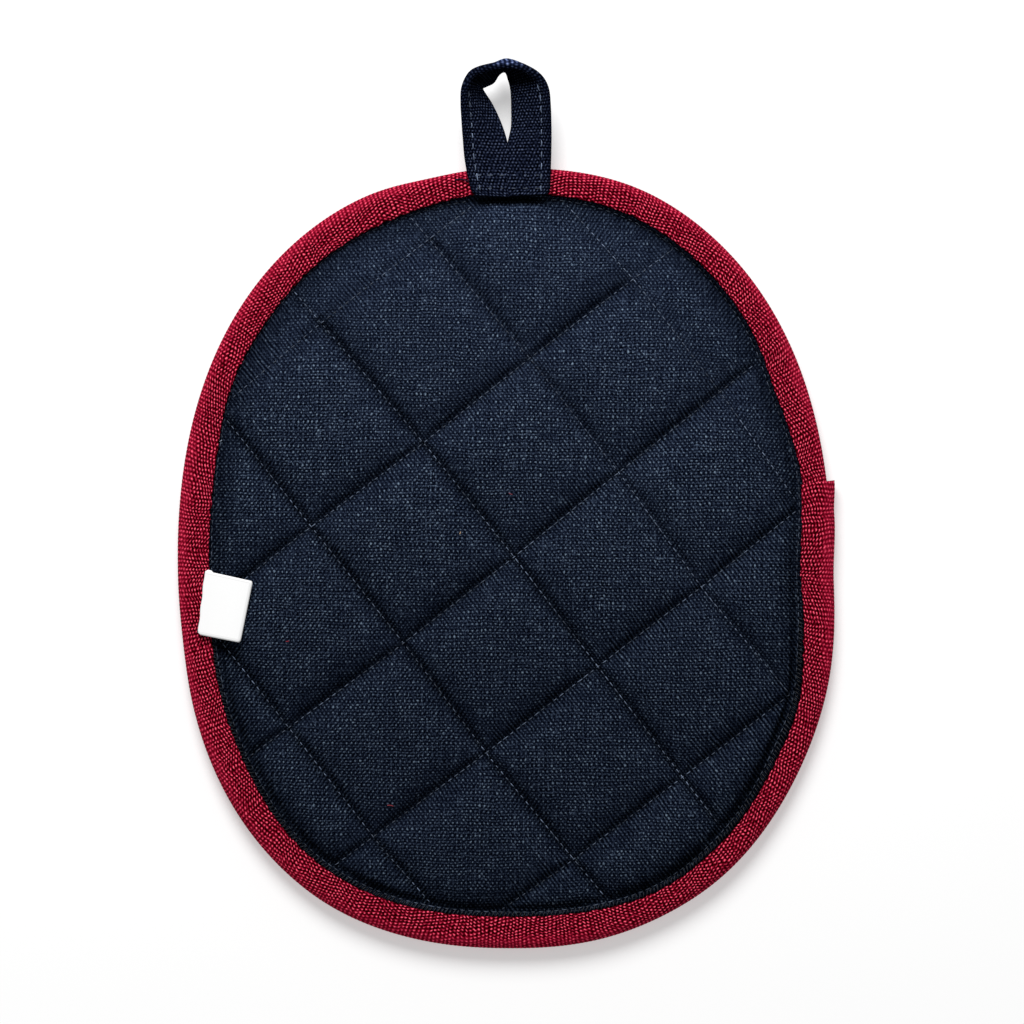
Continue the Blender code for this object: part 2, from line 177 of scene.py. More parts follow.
# --- binding ---
TAPE = 1.0  # thickness of the tape
FOLD_ROOM = 0.35  # between the pad's edge and the tape folded round it
TAPE_INSIDE = EDGE_HALF + FOLD_ROOM
TAPE_OUTSIDE = TAPE_INSIDE + TAPE
LAP_START = 9.4  # the tape starts here, under its own end
LAP_END = 375.3  # and ends here, one turn on
LAP_RAMP = 12.0  # degrees over which the end climbs over the start
LAP_FLARE = 1.1  # how far the loose end springs out
LAP_LEAN = 0.9  # degrees by which the end's inner edge runs on past its outer edge
FLAT_PARTS = 10  # steps across the flat of the tape
FOLD_PARTS = 12  # steps round its fold
RIB_PITCH = 1.21  # from one rib of the tape to the next, along it
BEAD_PITCH = 0.97  # from one float to the next, across it
BEAD_SLIP = -0.3  # how far each rib's floats lie further across than the last rib's
RIB_RISE = 0.03  # half the height of a rib
RIB_OUT = 0.1  # half of how far a rib stands out at the tape's edges
EDGE_STRAY = (0.35, 2.6)  # how far the tape's edge strays, and over what length
EDGE_LOW = 0.12  # how much lower its outer face is at both edges
EDGE_IN = 0.4  # how far it reaches in past TAPE_EDGE, and where that differs
EDGE_IN_WANDER = ((325, 50, -0.4), (93, 9, -0.9))
FOLD_OUT = 0.3  # how far its fold stands out past RIM, and where that differs
FOLD_OUT_WANDER = ((300, 65, 0.65), (205, 20, -0.3), (120, 22, -0.35))

# --- hanging loop ---
LOOP_HALF = 1.0  # half the thickness of the folded tape
LOOP_PARTS = 8  # cross-sections from one station to the next
LOOP_ACROSS = 20  # steps across each side of it
LOOP_END_PARTS = 5  # steps round each of its edges
LOOP_SEAM_IN = 2.9  # its seam, from the outer edge
LOOP_GROOVE = (0.25, 0.5)  # depth and reach of the groove that the seam lies in
LOOP_HEM = (0.35, 2.2, 0.5)  # how far its turned-in edge stands up, how wide that is, and its step down
LOOP_TURN_UNDER = (0.35, 6.8, 1.5)  # how far its turned-under ends stand up, their length, their slope
# Painted shade inside the eye, where its arch shades it: how far up it starts and over how far it darkens,
# how far in from the outer edge it starts, and how much darker it is painted.
LOOP_INSIDE = (146.3, 1.5, 2.6, 0.7)
# A painted highlight on its outside at the top, where the light falls on the arch's belly: middle and half
# width in x, how far down the tape's edge it starts and over how far it grows, and how much paler it is
# painted.
LOOP_PAINTED_HIGHLIGHT = (-0.3, 4.4, 0.1, 0.35, 4.5)
LOOP_RIB = 0.95  # from one rib of its tape to the next, along it
LOOP_BEAD = 1.07  # from one float to the next, across it
LOOP_SLIP = 0.45  # how far each rib's floats lie further across than the last rib's
# The tape's outer edge and inner edge, station by station from one end to the other, with how far
# the tape bellies outwards between them.
LOOP_STATIONS = (
    # outer x, y,   z;    inner x, y,     z,    belly
    (-10.6, 113.6, 8.3, 0.2, 113.1, 8.4, 0.0),
    (-11.7, 115.3, 8.3, 0.2, 115.0, 8.4, 0.0),
    (-12.5, 118.4, 8.4, 0.2, 118.4, 8.4, 0.0),
    (-13.6, 124.5, 8.9, 0.2, 124.5, 8.4, 0.0),
    (-14.1, 130.0, 10.2, -0.5, 129.7, 7.6, 0.0),
    (-14.4, 135.5, 12.3, -2.4, 135.5, 6.2, 0.0),
    (-14.5, 140.7, 14.4, -5.2, 141.2, 5.1, 0.2),
    (-14.0, 145.6, 16.2, -8.3, 146.0, 4.5, 0.4),
    (-11.9, 150.0, 17.0, -7.3, 147.1, 4.7, 0.6),
    (-8.6, 151.8, 17.4, -4.9, 148.3, 5.0, 0.5),
    (-4.5, 152.4, 17.6, -3.4, 150.6, 5.0, 1.0),
    (-0.3, 152.6, 17.6, -1.9, 151.6, 5.0, 1.9),
    (3.9, 152.2, 17.4, -0.9, 151.2, 5.3, 1.2),
    (7.8, 150.8, 16.6, -0.2, 149.2, 6.0, 0.3),
    (10.5, 148.6, 15.2, 0.3, 147.0, 6.6, 0.1),
    (12.1, 145.3, 13.9, 0.6, 144.1, 6.6, 0.0),
    (12.6, 140.3, 12.7, 0.7, 139.7, 6.2, 0.0),
    (12.8, 134.8, 11.6, 0.6, 134.5, 5.9, 0.0),
    (12.9, 129.4, 10.4, -0.6, 129.1, 7.2, 0.0),
    (12.8, 123.9, 9.1, -1.4, 123.9, 8.4, 0.0),
    (12.6, 118.4, 8.4, -1.5, 118.4, 8.4, 0.0),
    (12.5, 115.5, 8.3, -1.5, 115.0, 8.3, 0.0),
    (11.8, 113.9, 8.3, -1.5, 113.1, 8.3, 0.0),
)

LOOP_STITCH = (3.1, 2.1)  # from one stitch of it to the next, and how much of each shows
LOOP_SEAM_TOPS = ((-1, 144.6), (1, 146.2))  # each leg, and how far up its seam shows
LOOP_ROWS = ((119.6, -9.4, 9.2), (115.6, -9.4, 9.2))  # y, and both ends in x, of its rows across
LOOP_SUNK = (0.2, 0.1)  # how deep the threads of its seam and of its rows lie in the tape
LOOP_COVERS = (12.0, 109.6)  # to how far beside its middle, and from how far up, it hides the pad's seams

# --- label ---
# Its corners: the ends are at the left, over the binding, and the fold is at the right.
LABEL_CORNERS = {
    "top_left": (-92.7, -0.9),
    "top_right": (-78.0, -4.1),
    "bottom_right": (-81.8, -22.8),
    "bottom_left": (-94.9, -20.3),
}
LABEL_CORNER = 0.9  # how round its corners are
LABEL_FOLD_CORNER = 0.4  # share of that which the corners at the fold have
LABEL_SLIPPED = (0.5, 2.0)  # how far its under layer peeps out above at the left, and for how long
LABEL_WAVES = (0.1, 6.5)  # how far its cut left edge waves, and over what length
LABEL_BEAD = (0.75, 0.12)  # where the faint line beside its edges lies, and its half width
LABEL_LAYER = 0.45  # thickness of each of its two layers
LABEL_GAP = 0.65  # between the layers
LABEL_RISE = 1.7  # how much higher it lies over the pad than over the binding
LABEL_ALONG = 24  # steps along its width
LABEL_DOWN = 30  # steps down its height
NOSE_PARTS = 8  # steps round its fold

# --- sewing ---
STITCH_BOW = (-0.9, 1.9)  # how deep a stitch's ends lie and how high its bow is drawn, in thread widths
STITCH_LENGTHS = (0.8, 1.15)  # the shortest and the longest, as shares of the usual
STITCH_DULLEST = 0.4  # how pale the dullest stitch is, as a share of the palest
PALE_STRETCHES = (45.0, 0.38, 0.62)  # how close pale stretches come, and the noise that dulls and pales
OVERLOCK_STITCH = (1.2, 1.9)  # from one overlocking stitch to the next, and its length

# --- loose bits ---
# Each speck of lint: name, place, heading in degrees, length, colour.
LINT = (
    ("lint_low", -36.2, -72.4, 172, 1.9, "8c3a42"),
    ("lint_middle", 0.4, 22.5, -25, 1.2, "7a4450"),
    ("lint_left", -67.5, -22.4, 10, 1.0, "8c2f3c"),
    ("lint_tan", -14.9, 10.6, 70, 0.8, "b49a80"),
    ("lint_pale", -88.0, 38.7, 30, 0.8, "9aa4b4"),
)
LINT_RADIUS = 0.13
LINT_CURL = 0.35  # how strongly a speck curls
LINT_LIFT = (0.12, 0.2)  # how high its ends lie over the canvas, and how much its middle is bowed up
# Points of the loose thread, with how far each lies over the binding.
LOOSE_THREAD = ((-11.0, 117.2, 0.7), (-12.6, 117.9, 0.3), (-14.2, 118.4, 0.0), (-15.8, 118.5, 0.0),
                (-16.6, 118.1, 0.0))
LOOSE_THREAD_RADIUS = 0.17

# --- stage ---
VIEW_MIDDLE = (1.87, -3.14)  # the point of the frame, in mm, in the middle of the picture
VIEW_WIDTH = 312.7  # width of the picture at the object, mm
CAMERA_HEIGHT = 2000.0
FLOOR_UNDER = 0.3  # how far the floor lies under the object

# --- weaves ---
NOISE_SPAN = (0.3, 0.7)  # nearly all of Blender's noise lies between these
TAUT_CALM = -0.6  # what taut floats lose of their unevenness
SLUBS = (0.07, 0.73, 50.0)  # slubs to a cell along and across, and how far apart both ways are drawn
GLINT_POWER = 12.0  # the higher, the fewer floats glint
GAP_DEPTH = 1.35  # how much faster the gaps grow dark than the floats grow pale
DARKEST = -3.6  # the darkest tone, below the side of a thread
# How the threads of the canvas waver, slowest first: length and amount in mm.
CANVAS_WAVER = ((45.0, 3.0), (6.0, 1.0), (1.6, 0.45))
CANVAS_LEAN = 0.52  # strength of its diagonals where the floats stand upright
CANVAS_ROWS = (0.76, -0.55)  # strength of its rows, and what drawing the floats out adds to it
CANVAS_PAIRS = (0.37, -0.3)  # and of its pairs of threads
# Its gathers beside a rising and a falling seam: strength, and turns to a cell both ways.
CANVAS_GATHERS = ((0.55, (0.388, 0.405)), (-0.55, (-0.303, 0.518)))
# Two places up the pad in mm, and the contrast of its canvas below the one and above the other.
CANVAS_CONTRAST = ((10.0, 80.0), (0.97, 0.8))
PALER_FROM = -55.0  # the canvas is drawn paler upwards from this far up
TAPE_WAVER = (14.0, 3.0)  # lengths of the slow and the quick waver of the tapes
TAPE_QUICK_WAVER = 0.35  # amount of the quick one
TAPE_RIBS_LEFT = 0.3  # the ribs lose only this share of what the floats lose by running together


def linear(hex_colour):
    """An sRGB hex colour as linear red, green and blue."""
    channels = [int(hex_colour[start:start + 2], 16) / 255 for start in (0, 2, 4)]
    return tuple(c / 12.92 if c <= 0.04045 else ((c + 0.055) / 1.055) ** 2.4 for c in channels)


def rgba(colour):
    return (*colour, 1.0)


# --- settings ---

def a_length(name, description, size, **limits):
    return bpy.props.FloatProperty(name=name, description=description, default=size, unit="LENGTH", **limits)


def an_angle(name, description, degrees):
    return bpy.props.FloatProperty(name=name, description=description, default=math.radians(degrees),
                                   subtype="ANGLE")


def a_colour(name, description, hex_colour):
    return bpy.props.FloatVectorProperty(name=name, description=description, default=linear(hex_colour),
                                         subtype="COLOR")


class PadSettings(bpy.types.PropertyGroup):
    """Sizes and colours of the quilted pad"""

    top_step: a_length("Top step", "Spacing of the points of the upper face", 0.72 * MM, min=0.5 * MM)
    under_step: a_length("Under step", "Spacing of the points of the under face", 2.0 * MM, min=0.5 * MM)
    warp_pitch: a_length("Warp pitch", "From one warp thread of the canvas to the next", 0.69 * MM)
    weft_pitch: a_length("Weft pitch", "From one weft thread of the canvas to the next", 0.92 * MM)
    side_colour: a_colour("Side colour", "Side of a canvas thread", "181f2e")
    crown_colour: a_colour("Crown colour", "Crown of a canvas thread", "2e3849")
    upward_paling: bpy.props.FloatProperty(
        name="Paling", description="How fast the canvas grows paler towards the loop, per metre", default=4.3)


class TapeSettings(bpy.types.PropertyGroup):
    """Colours of the binding and the hanging loop"""

    red_side: a_colour("Red side", "Side of a float of the binding", "780b21")
    red_crown: a_colour("Red crown", "Crown of a float of the binding", "b22642")
    navy_side: a_colour("Navy side", "Side of a float of the loop tape", "141929")
    navy_crown: a_colour("Navy crown", "Crown of a float of the loop tape", "293044")


class LabelSettings(bpy.types.PropertyGroup):
    """Colour of the blank label"""

    white: a_colour("Label colour", "Woven label tape", "fcfcfc")


class ThreadSettings(bpy.types.PropertyGroup):
    """Sizes and colour of the sewing"""

    pitch: a_length("Stitch pitch", "From one stitch to the next", 2.4 * MM)
    length: a_length("Stitch length", "Thread that shows at each stitch", 1.55 * MM)
    width: a_length("Thread width", "Diameter of the thread", 0.28 * MM)
    colour: a_colour("Thread colour", "Sewing thread", "5a667a")


class StageSettings(bpy.types.PropertyGroup):
    """Floor, light and camera"""

    floor_size: a_length("Floor size", "Side of the square floor", 3.0)
    floor_colour: bpy.props.FloatVectorProperty(
        name="Floor colour", description="Light that the floor sends back", subtype="COLOR",
        default=(0.64, 0.64, 0.64))
    floor_glow: bpy.props.FloatProperty(
        name="Floor glow", description="Light from under the floor, which softens the shadows on it",
        default=0.41)
    key_turn: an_angle("Key light turn", "Where the key light comes from, round from the right", 99.0)
    key_rise: an_angle("Key light rise", "Height of the key light over the floor", 46.0)
    key_spread: an_angle("Key light spread", "How wide the key light is, which softens its shadows", 30.0)
    key_distance: a_length("Key light distance", "From the middle of the floor to the key light", 1.6)
    key_strength: bpy.props.FloatProperty(
        name="Key light strength", description="Irradiance of the key light", default=3.5)
    sky_strength: bpy.props.FloatProperty(
        name="Sky strength", description="Brightness of the white surroundings", default=0.28)


SETTINGS = {
    "pot_holder_pad": PadSettings,
    "pot_holder_tape": TapeSettings,
    "pot_holder_label": LabelSettings,
    "pot_holder_thread": ThreadSettings,
    "pot_holder_stage": StageSettings,
}


# --- node helper and materials ---

def add(tree, kind, inputs=None, **settings):
    """Add a node with its settings; an input is a value, or a node or socket to link from."""
    node = tree.nodes.new(kind)
    for name, value in settings.items():
        setattr(node, name, value)
    for key, value in (inputs or {}).items():
        if isinstance(value, bpy.types.Node):
            value = value.outputs[0]
        if isinstance(value, bpy.types.NodeSocket):
            tree.links.new(value, node.inputs[key])
        else:
            node.inputs[key].default_value = value
    return node


def new_material(name, roughness, gloss):
    """A Principled material; gloss is its specular level.  Returns it with its tree and shader."""
    material = bpy.data.materials.new(name)
    material.use_nodes = True
    shader = material.node_tree.nodes["Principled BSDF"]
    shader.inputs["Roughness"].default_value = roughness
    shader.inputs["Specular IOR Level"].default_value = gloss
    return material, material.node_tree, shader


def flat_noise(tree, spot, scale, amount):
    """Noise over a plane, from about -amount to amount."""
    waves = add(tree, "ShaderNodeTexNoise", {"Vector": spot, "Scale": scale, "Detail": 1.0},
                noise_dimensions="2D")
    low, high = NOISE_SPAN
    return add(tree, "ShaderNodeMapRange", {"Value": waves.outputs[0], "From Min": low, "From Max": high,
                                            "To Min": -amount, "To Max": amount}).outputs[0]


def woven(tree, shader, place, weave, taut):
    """Weave in the shader: waves over a slanted lattice make the floats, and fibre and yarn make them uneven.

    place is in metres.  weave holds pitch, the lattice's cell along and across; slip, how far each thread's
    floats lie further across than the last one's; waves, each with its turns to a cell both ways and its
    strength; fibre and fineness, how uneven the floats are and how finely; slub, how uneven the threads are;
    glints, how much paler a few floats are; relief, their height; contrast and level, of it all; palest, the
    end of it; and the colours of a thread's side and its crown.  taut, from 0 to 1, is how far the fibre is
    pulled smooth.  Returns the colour, which goes on beyond those two in the same proportions, as a dye does
    with its depth.
    """
    along, across = weave["pitch"]
    cells = add(tree, "ShaderNodeVectorMath", {0: place, 1: (1 / along, 1 / across, 0)}, operation="MULTIPLY")
    parts = add(tree, "ShaderNodeSeparateXYZ", {0: cells})
    slipped = add(tree, "ShaderNodeMath", {0: parts.outputs["X"], 1: -weave["slip"] / across,
                                           2: parts.outputs["Y"]}, operation="MULTIPLY_ADD")
    lattice = add(tree, "ShaderNodeCombineXYZ", {"X": parts.outputs["X"], "Y": slipped})
    floats = 0.0
    for turns_along, turns_across, strength in weave["waves"]:
        turns = (2 * math.pi * turns_along, 2 * math.pi * turns_across, 0.0)
        phase = add(tree, "ShaderNodeVectorMath", {0: lattice, 1: turns}, operation="DOT_PRODUCT")
        wave = add(tree, "ShaderNodeMath", {0: phase.outputs["Value"]}, operation="COSINE")
        floats = add(tree, "ShaderNodeMath", {0: wave, 1: strength, 2: floats}, operation="MULTIPLY_ADD")

    # Loose fibre makes the floats uneven, less so where they are taut, and slubs make whole threads uneven.
    loose = flat_noise(tree, cells, weave["fineness"], weave["fibre"])
    calmer = add(tree, "ShaderNodeMath", {0: taut, 1: TAUT_CALM, 2: 1.0}, operation="MULTIPLY_ADD")
    uneven = add(tree, "ShaderNodeMath", {0: loose, 1: calmer, 2: floats}, operation="MULTIPLY_ADD")
    slubs_along, slubs_across, apart = SLUBS
    for side, run, offset in ((slipped, parts.outputs["X"], 0.0), (parts.outputs["X"], slipped, apart)):
        number = add(tree, "ShaderNodeMath", {0: side, 1: slubs_across, 2: offset}, operation="MULTIPLY_ADD")
        length = add(tree, "ShaderNodeMath", {0: run, 1: slubs_along}, operation="MULTIPLY")
        spot = add(tree, "ShaderNodeCombineXYZ", {"X": length, "Y": number})
        slub = flat_noise(tree, spot, 1.0, weave["slub"])
        uneven = add(tree, "ShaderNodeMath", {0: uneven, 1: slub}, operation="ADD")

    # A high power of a number drawn for each cell leaves few of them high: those floats are painted paler, as
    # painted glints.
    middles = add(tree, "ShaderNodeVectorMath", {0: lattice, 1: (0.5, 0.5, 0.0)}, operation="ADD")
    whole = add(tree, "ShaderNodeVectorMath", {0: middles}, operation="FLOOR")
    each = add(tree, "ShaderNodeTexWhiteNoise", {"Vector": whole}, noise_dimensions="2D")
    rare = add(tree, "ShaderNodeMath", {0: each.outputs["Value"], 1: GLINT_POWER}, operation="POWER")
    glinting = add(tree, "ShaderNodeMath", {0: rare, 1: weave["glints"], 2: uneven}, operation="MULTIPLY_ADD")
    level = add(tree, "ShaderNodeMath", {0: glinting, 1: weave["contrast"], 2: weave["level"]},
                operation="MULTIPLY_ADD")

    # The gaps between the threads fall off faster than the floats rise.
    deeper = add(tree, "ShaderNodeMath", {0: level, 1: GAP_DEPTH}, operation="MULTIPLY")
    holed = add(tree, "ShaderNodeMath", {0: level, 1: deeper}, operation="MINIMUM")
    tone = add(tree, "ShaderNodeClamp", {"Value": holed, "Min": DARKEST, "Max": weave["palest"]})
    channels = {}
    for axis, side, crown in zip("XYZ", *weave["colours"]):
        deepened = add(tree, "ShaderNodeMath", {0: crown / side, 1: tone}, operation="POWER")
        channels[axis] = add(tree, "ShaderNodeMath", {0: deepened, 1: side}, operation="MULTIPLY")
    bump = add(tree, "ShaderNodeBump", {"Height": uneven, "Distance": weave["relief"]})
    tree.links.new(bump.outputs["Normal"], shader.inputs["Normal"])
    return add(tree, "ShaderNodeCombineXYZ", channels)


def on_cloth(tree, wavers):
    """Place on the flat cloth from the piece's own map: in mm, and in metres and moved about.

    It is moved as the threads waver; each of the wavers is a length and an amount in mm.
    """
    place = add(tree, "ShaderNodeUVMap", uv_map="weave")
    moved = add(tree, "ShaderNodeVectorMath", {0: place, "Scale": MM}, operation="SCALE")
    for length, amount in wavers:
        wave = add(tree, "ShaderNodeTexNoise", {"Vector": moved, "Scale": 1 / (length * MM), "Detail": 2.0})
        centred = add(tree, "ShaderNodeVectorMath", {0: wave.outputs["Color"], 1: (0.5, 0.5, 0.5)},
                      operation="SUBTRACT")
        moved = add(tree, "ShaderNodeVectorMath", {0: centred, 1: (amount * MM,) * 3, 2: moved},
                    operation="MULTIPLY_ADD")
    return place, moved


def with_painted_shading(tree, colour):
    """The colour with its painted shading: darker where shade is painted, and paler where a share below 0
    paints a highlight.
    """
    painted_shading = add(tree, "ShaderNodeAttribute", attribute_name="painted_shading")
    left = add(tree, "ShaderNodeMath", {0: 1.0, 1: painted_shading.outputs["Fac"]}, operation="SUBTRACT")
    return add(tree, "ShaderNodeVectorMath", {0: colour, "Scale": left}, operation="SCALE").outputs[0]


def cotton_canvas():
    """Plain-weave cotton canvas, piece-dyed navy: matt, with rows of pale thread crowns on near-black.

    It is drawn paler towards the loop, and the seams draw its floats out into slanting gathers.
    """
    settings = bpy.context.scene.pot_holder_pad
    material, tree, shader = new_material("plain-weave cotton canvas", roughness=0.9, gloss=0.0)
    _, moved = on_cloth(tree, CANVAS_WAVER)
    spot = add(tree, "ShaderNodeTexCoord")
    place = add(tree, "ShaderNodeSeparateXYZ", {0: spot.outputs["Object"]})
    gathering = add(tree, "ShaderNodeAttribute", attribute_name="gathering")
    drawn = add(tree, "ShaderNodeSeparateXYZ", {0: gathering.outputs["Vector"]})
    lean, taut = drawn.outputs["X"], drawn.outputs["Y"]

    rising, falling, rows, pairs = (
        add(tree, "ShaderNodeMath", {0: by, 1: added, 2: alone}, operation="MULTIPLY_ADD")
        for by, (alone, added) in ((lean, (CANVAS_LEAN, CANVAS_LEAN)), (lean, (CANVAS_LEAN, -CANVAS_LEAN)),
                                   (taut, CANVAS_ROWS), (taut, CANVAS_PAIRS)))
    pull = add(tree, "ShaderNodeMath", {0: lean, 1: taut}, operation="MULTIPLY")
    gathers = []
    for across, turns in CANVAS_GATHERS:
        strength = add(tree, "ShaderNodeMath", {0: pull, 1: across}, operation="MULTIPLY")
        gathered = add(tree, "ShaderNodeMath", {0: strength, 1: 0.0}, operation="MAXIMUM")
        gathers.append((*turns, gathered))
    (low, high), (low_contrast, high_contrast) = CANVAS_CONTRAST
    contrast = add(tree, "ShaderNodeMapRange", {
        "Value": place.outputs["Y"], "From Min": low * MM, "From Max": high * MM,
        "To Min": low_contrast, "To Max": high_contrast})
    colour = woven(tree, shader, moved, {
        "pitch": (settings.warp_pitch, settings.weft_pitch), "slip": 0.0,
        "waves": ((0.5, 0.5, rising), (0.5, -0.5, falling), (0.0, 1.0, rows), (0.5, 0.0, pairs),
                  (1.0, 0.0, 0.25), *gathers),
        "fibre": 1.2, "fineness": 1.9, "slub": 0.2, "glints": 1.2, "relief": 0.04 * MM, "level": -0.12,
        "palest": 2.6, "contrast": contrast.outputs[0],
        "colours": (settings.side_colour, settings.crown_colour)}, taut)
    # Paler upwards: the colour grows paler towards the loop by the same factor per metre.
    reached = add(tree, "ShaderNodeMath", {0: place.outputs["Y"], 1: PALER_FROM * MM}, operation="MAXIMUM")
    up = add(tree, "ShaderNodeMath", {0: reached, 1: settings.upward_paling}, operation="MULTIPLY")
    upward_factor = add(tree, "ShaderNodeMath", {0: up}, operation="EXPONENT")
    paled = add(tree, "ShaderNodeVectorMath", {0: colour, "Scale": upward_factor}, operation="SCALE")
    # Painted shade from the pad's points darkens its seams, the ridge, the canvas by the tape and the ditch
    # below the loop.
    tree.links.new(with_painted_shading(tree, paled), shader.inputs["Base Color"])
    return material


def ribbed_tape(name, weave):
    """Ribbed woven tape: rows of rounded floats with pale crowns and deep dark gaps between them.

    Besides what woven reads, weave holds waver, how far its threads waver slowly, in mm; and paled, from
    which place across the tape its floats run together and where they have done so, in mm, how much paler
    they are painted then, and how far they have run together.  On the binding's fold that paler tone is a
    painted highlight.
    """
    material, tree, shader = new_material(name, roughness=0.8, gloss=0.0)
    slow, quick = TAPE_WAVER
    place, moved = on_cloth(tree, ((slow, weave["waver"]), (quick, TAPE_QUICK_WAVER)))
    parts = add(tree, "ShaderNodeSeparateXYZ", {0: place})
    # Towards the tape's fold the floats run together and are painted paler; on the binding this is a painted
    # highlight where the fold turns from the light.
    start, full, paler, together = weave["paled"]
    paled = add(tree, "ShaderNodeMapRange", {"Value": parts.outputs["Y"], "From Min": start, "From Max": full},
               interpolation_type="SMOOTHSTEP")
    waves = []
    for turns_along, turns_across, strength in weave["waves"]:
        less = -together * strength * (1.0 if turns_across else TAPE_RIBS_LEFT)
        left = add(tree, "ShaderNodeMath", {0: paled, 1: less, 2: strength}, operation="MULTIPLY_ADD")
        waves.append((turns_along, turns_across, left))
    level = add(tree, "ShaderNodeMath", {0: paled, 1: paler, 2: weave["level"]}, operation="MULTIPLY_ADD")
    floats = {"fineness": 1.5, "slub": 0.1, "glints": 0.4, "relief": 0.06 * MM, "palest": 2.1}
    colour = woven(tree, shader, moved, {**weave, **floats, "waves": waves, "level": level}, paled)
    tree.links.new(with_painted_shading(tree, colour), shader.inputs["Base Color"])
    return material


def label_tape(height):
    """Woven polyester label tape: clean white, a faint close rib, and a faint line beside its edges."""
    settings = bpy.context.scene.pot_holder_label
    material, tree, shader = new_material("woven polyester label tape", roughness=0.6, gloss=0.1)
    place = add(tree, "ShaderNodeUVMap", uv_map="weave")
    rib = add(tree, "ShaderNodeTexWave", {"Vector": place, "Scale": 0.9, "Distortion": 0.4},
              bands_direction="X")
    shade = add(tree, "ShaderNodeMapRange", {"Value": rib.outputs["Fac"], "To Min": 0.975, "To Max": 1.0})
    parts = add(tree, "ShaderNodeSeparateXYZ", {0: place})
    from_end = add(tree, "ShaderNodeMath", {0: parts.outputs["Y"], 1: height / 2}, operation="PINGPONG")
    edge = add(tree, "ShaderNodeMath", {0: parts.outputs["X"], 1: from_end}, operation="MINIMUM")
    bead_in, bead_half = LABEL_BEAD
    away = add(tree, "ShaderNodeMath", {0: edge, 1: bead_in}, operation="SUBTRACT")
    size = add(tree, "ShaderNodeMath", {0: away}, operation="ABSOLUTE")
    line = add(tree, "ShaderNodeMapRange", {"Value": size, "From Max": 2 * bead_half, "To Min": 0.86,
                                            "To Max": 1.0})
    both = add(tree, "ShaderNodeMath", {0: shade.outputs[0], 1: line.outputs[0]}, operation="MULTIPLY")
    colour = add(tree, "ShaderNodeVectorMath", {0: tuple(settings.white), "Scale": both}, operation="SCALE")
    tree.links.new(colour.outputs[0], shader.inputs["Base Color"])
    bump = add(tree, "ShaderNodeBump", {"Height": both, "Distance": 0.1 * MM})
    tree.links.new(bump.outputs["Normal"], shader.inputs["Normal"])
    return material


def spun_thread():
    """Core-spun polyester sewing thread: slightly silky, each stitch a little lighter or darker."""
    settings = bpy.context.scene.pot_holder_thread
    material, tree, shader = new_material("core-spun polyester thread", roughness=0.5, gloss=0.3)
    shade = add(tree, "ShaderNodeAttribute", attribute_name="shade")
    colour = add(tree, "ShaderNodeVectorMath", {0: tuple(settings.colour), "Scale": shade.outputs["Fac"]},
                 operation="SCALE")
    tree.links.new(colour.outputs[0], shader.inputs["Base Color"])
    return material


# --- shared shape functions ---

def oval_middle():
    """Where the middle of the oval lies in the frame, in mm, read from the label's box."""
    low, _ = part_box("label")
    left = min(corner[0] for corner in LABEL_CORNERS.values())
    bottom = min(corner[1] for corner in LABEL_CORNERS.values())
    return np.array((low.x / MM - left, low.y / MM - bottom, 0.0))


def falloff(distance, reach, power=2):
    """1 in the middle, falling off softly over its reach."""
    return np.exp(-(distance / reach) ** power)


def wander(angle, table):
    """Sum of the soft bumps in a table, at an angle in degrees."""
    total = 0.0
    for centre, half_width, height in table:
        away = (angle - centre + 180.0) % 360.0 - 180.0
        total = total + height * falloff(away, half_width)
    return total


def oval_radius(angle, oval, table):
    """Distance from the middle to an oval's edge, at an angle in degrees."""
    across = np.cos(np.radians(angle))
    along = np.sin(np.radians(angle))
    half_x = np.where(across > 0, oval["right"], oval["left"])
    half_y = np.where(along > 0, oval["top"], oval["bottom"])
    power = np.where(along > 0, oval["power_up"], oval["power_down"])
    radius = (np.abs(across / half_x) ** power + np.abs(along / half_y) ** power) ** (-1.0 / power)
    return radius + wander(angle, table)


def rim_radius(angle):
    return oval_radius(angle, RIM, RIM_WANDER)


def tape_edge_radius(angle):
    return oval_radius(angle, TAPE_EDGE, TAPE_EDGE_WANDER)


def smooth(share):
    """0 to 1 with a soft start and a soft end."""
    share = np.clip(share, 0.0, 1.0)
    return share * share * (3.0 - 2.0 * share)


def bank(distance, reach):
    """0 on a seam, 1 at reach and beyond, steepest at the seam."""
    share = np.clip(np.abs(distance) / reach, 0.0, 1.0)
    return 1.0 - (1.0 - share) ** 2


def puff(distance, steep):
    """Share of the crown that the filling has at a distance from one seam, on a steep or a soft bank."""
    soft = smooth((distance - SEAM_FLOOR) / SOFT_REACH)
    near = steep * bank(distance, STEEP_REACH) + (1.0 - steep) * soft
    return STEEP_SHARE * near + (1.0 - STEEP_SHARE) * bank(distance, WIDE_REACH)


def seam_place(row, station):
    """How far across a seam lies, at a place along it."""
    spacing = STATIONS[1] - STATIONS[0]
    index = np.clip(np.floor((station - STATIONS[0]) / spacing), 0, len(STATIONS) - 2).astype(int)
    row = np.asarray(row)
    share = (station - STATIONS[0]) / spacing - index
    return row[index] + (row[index + 1] - row[index]) * share


def to_quilt(x, y):
    """Plan point to the turned coordinates that the seams follow."""
    cos_turn, sin_turn = math.cos(QUILT_TURN), math.sin(QUILT_TURN)
    return x * cos_turn + y * sin_turn, y * cos_turn - x * sin_turn


def from_quilt(u, v):
    cos_turn, sin_turn = math.cos(QUILT_TURN), math.sin(QUILT_TURN)
    return u * cos_turn - v * sin_turn, u * sin_turn + v * cos_turn


def angle_at(x, y):
    """Angle of a plan point round the oval, in degrees."""
    return np.degrees(np.arctan2(y, x))


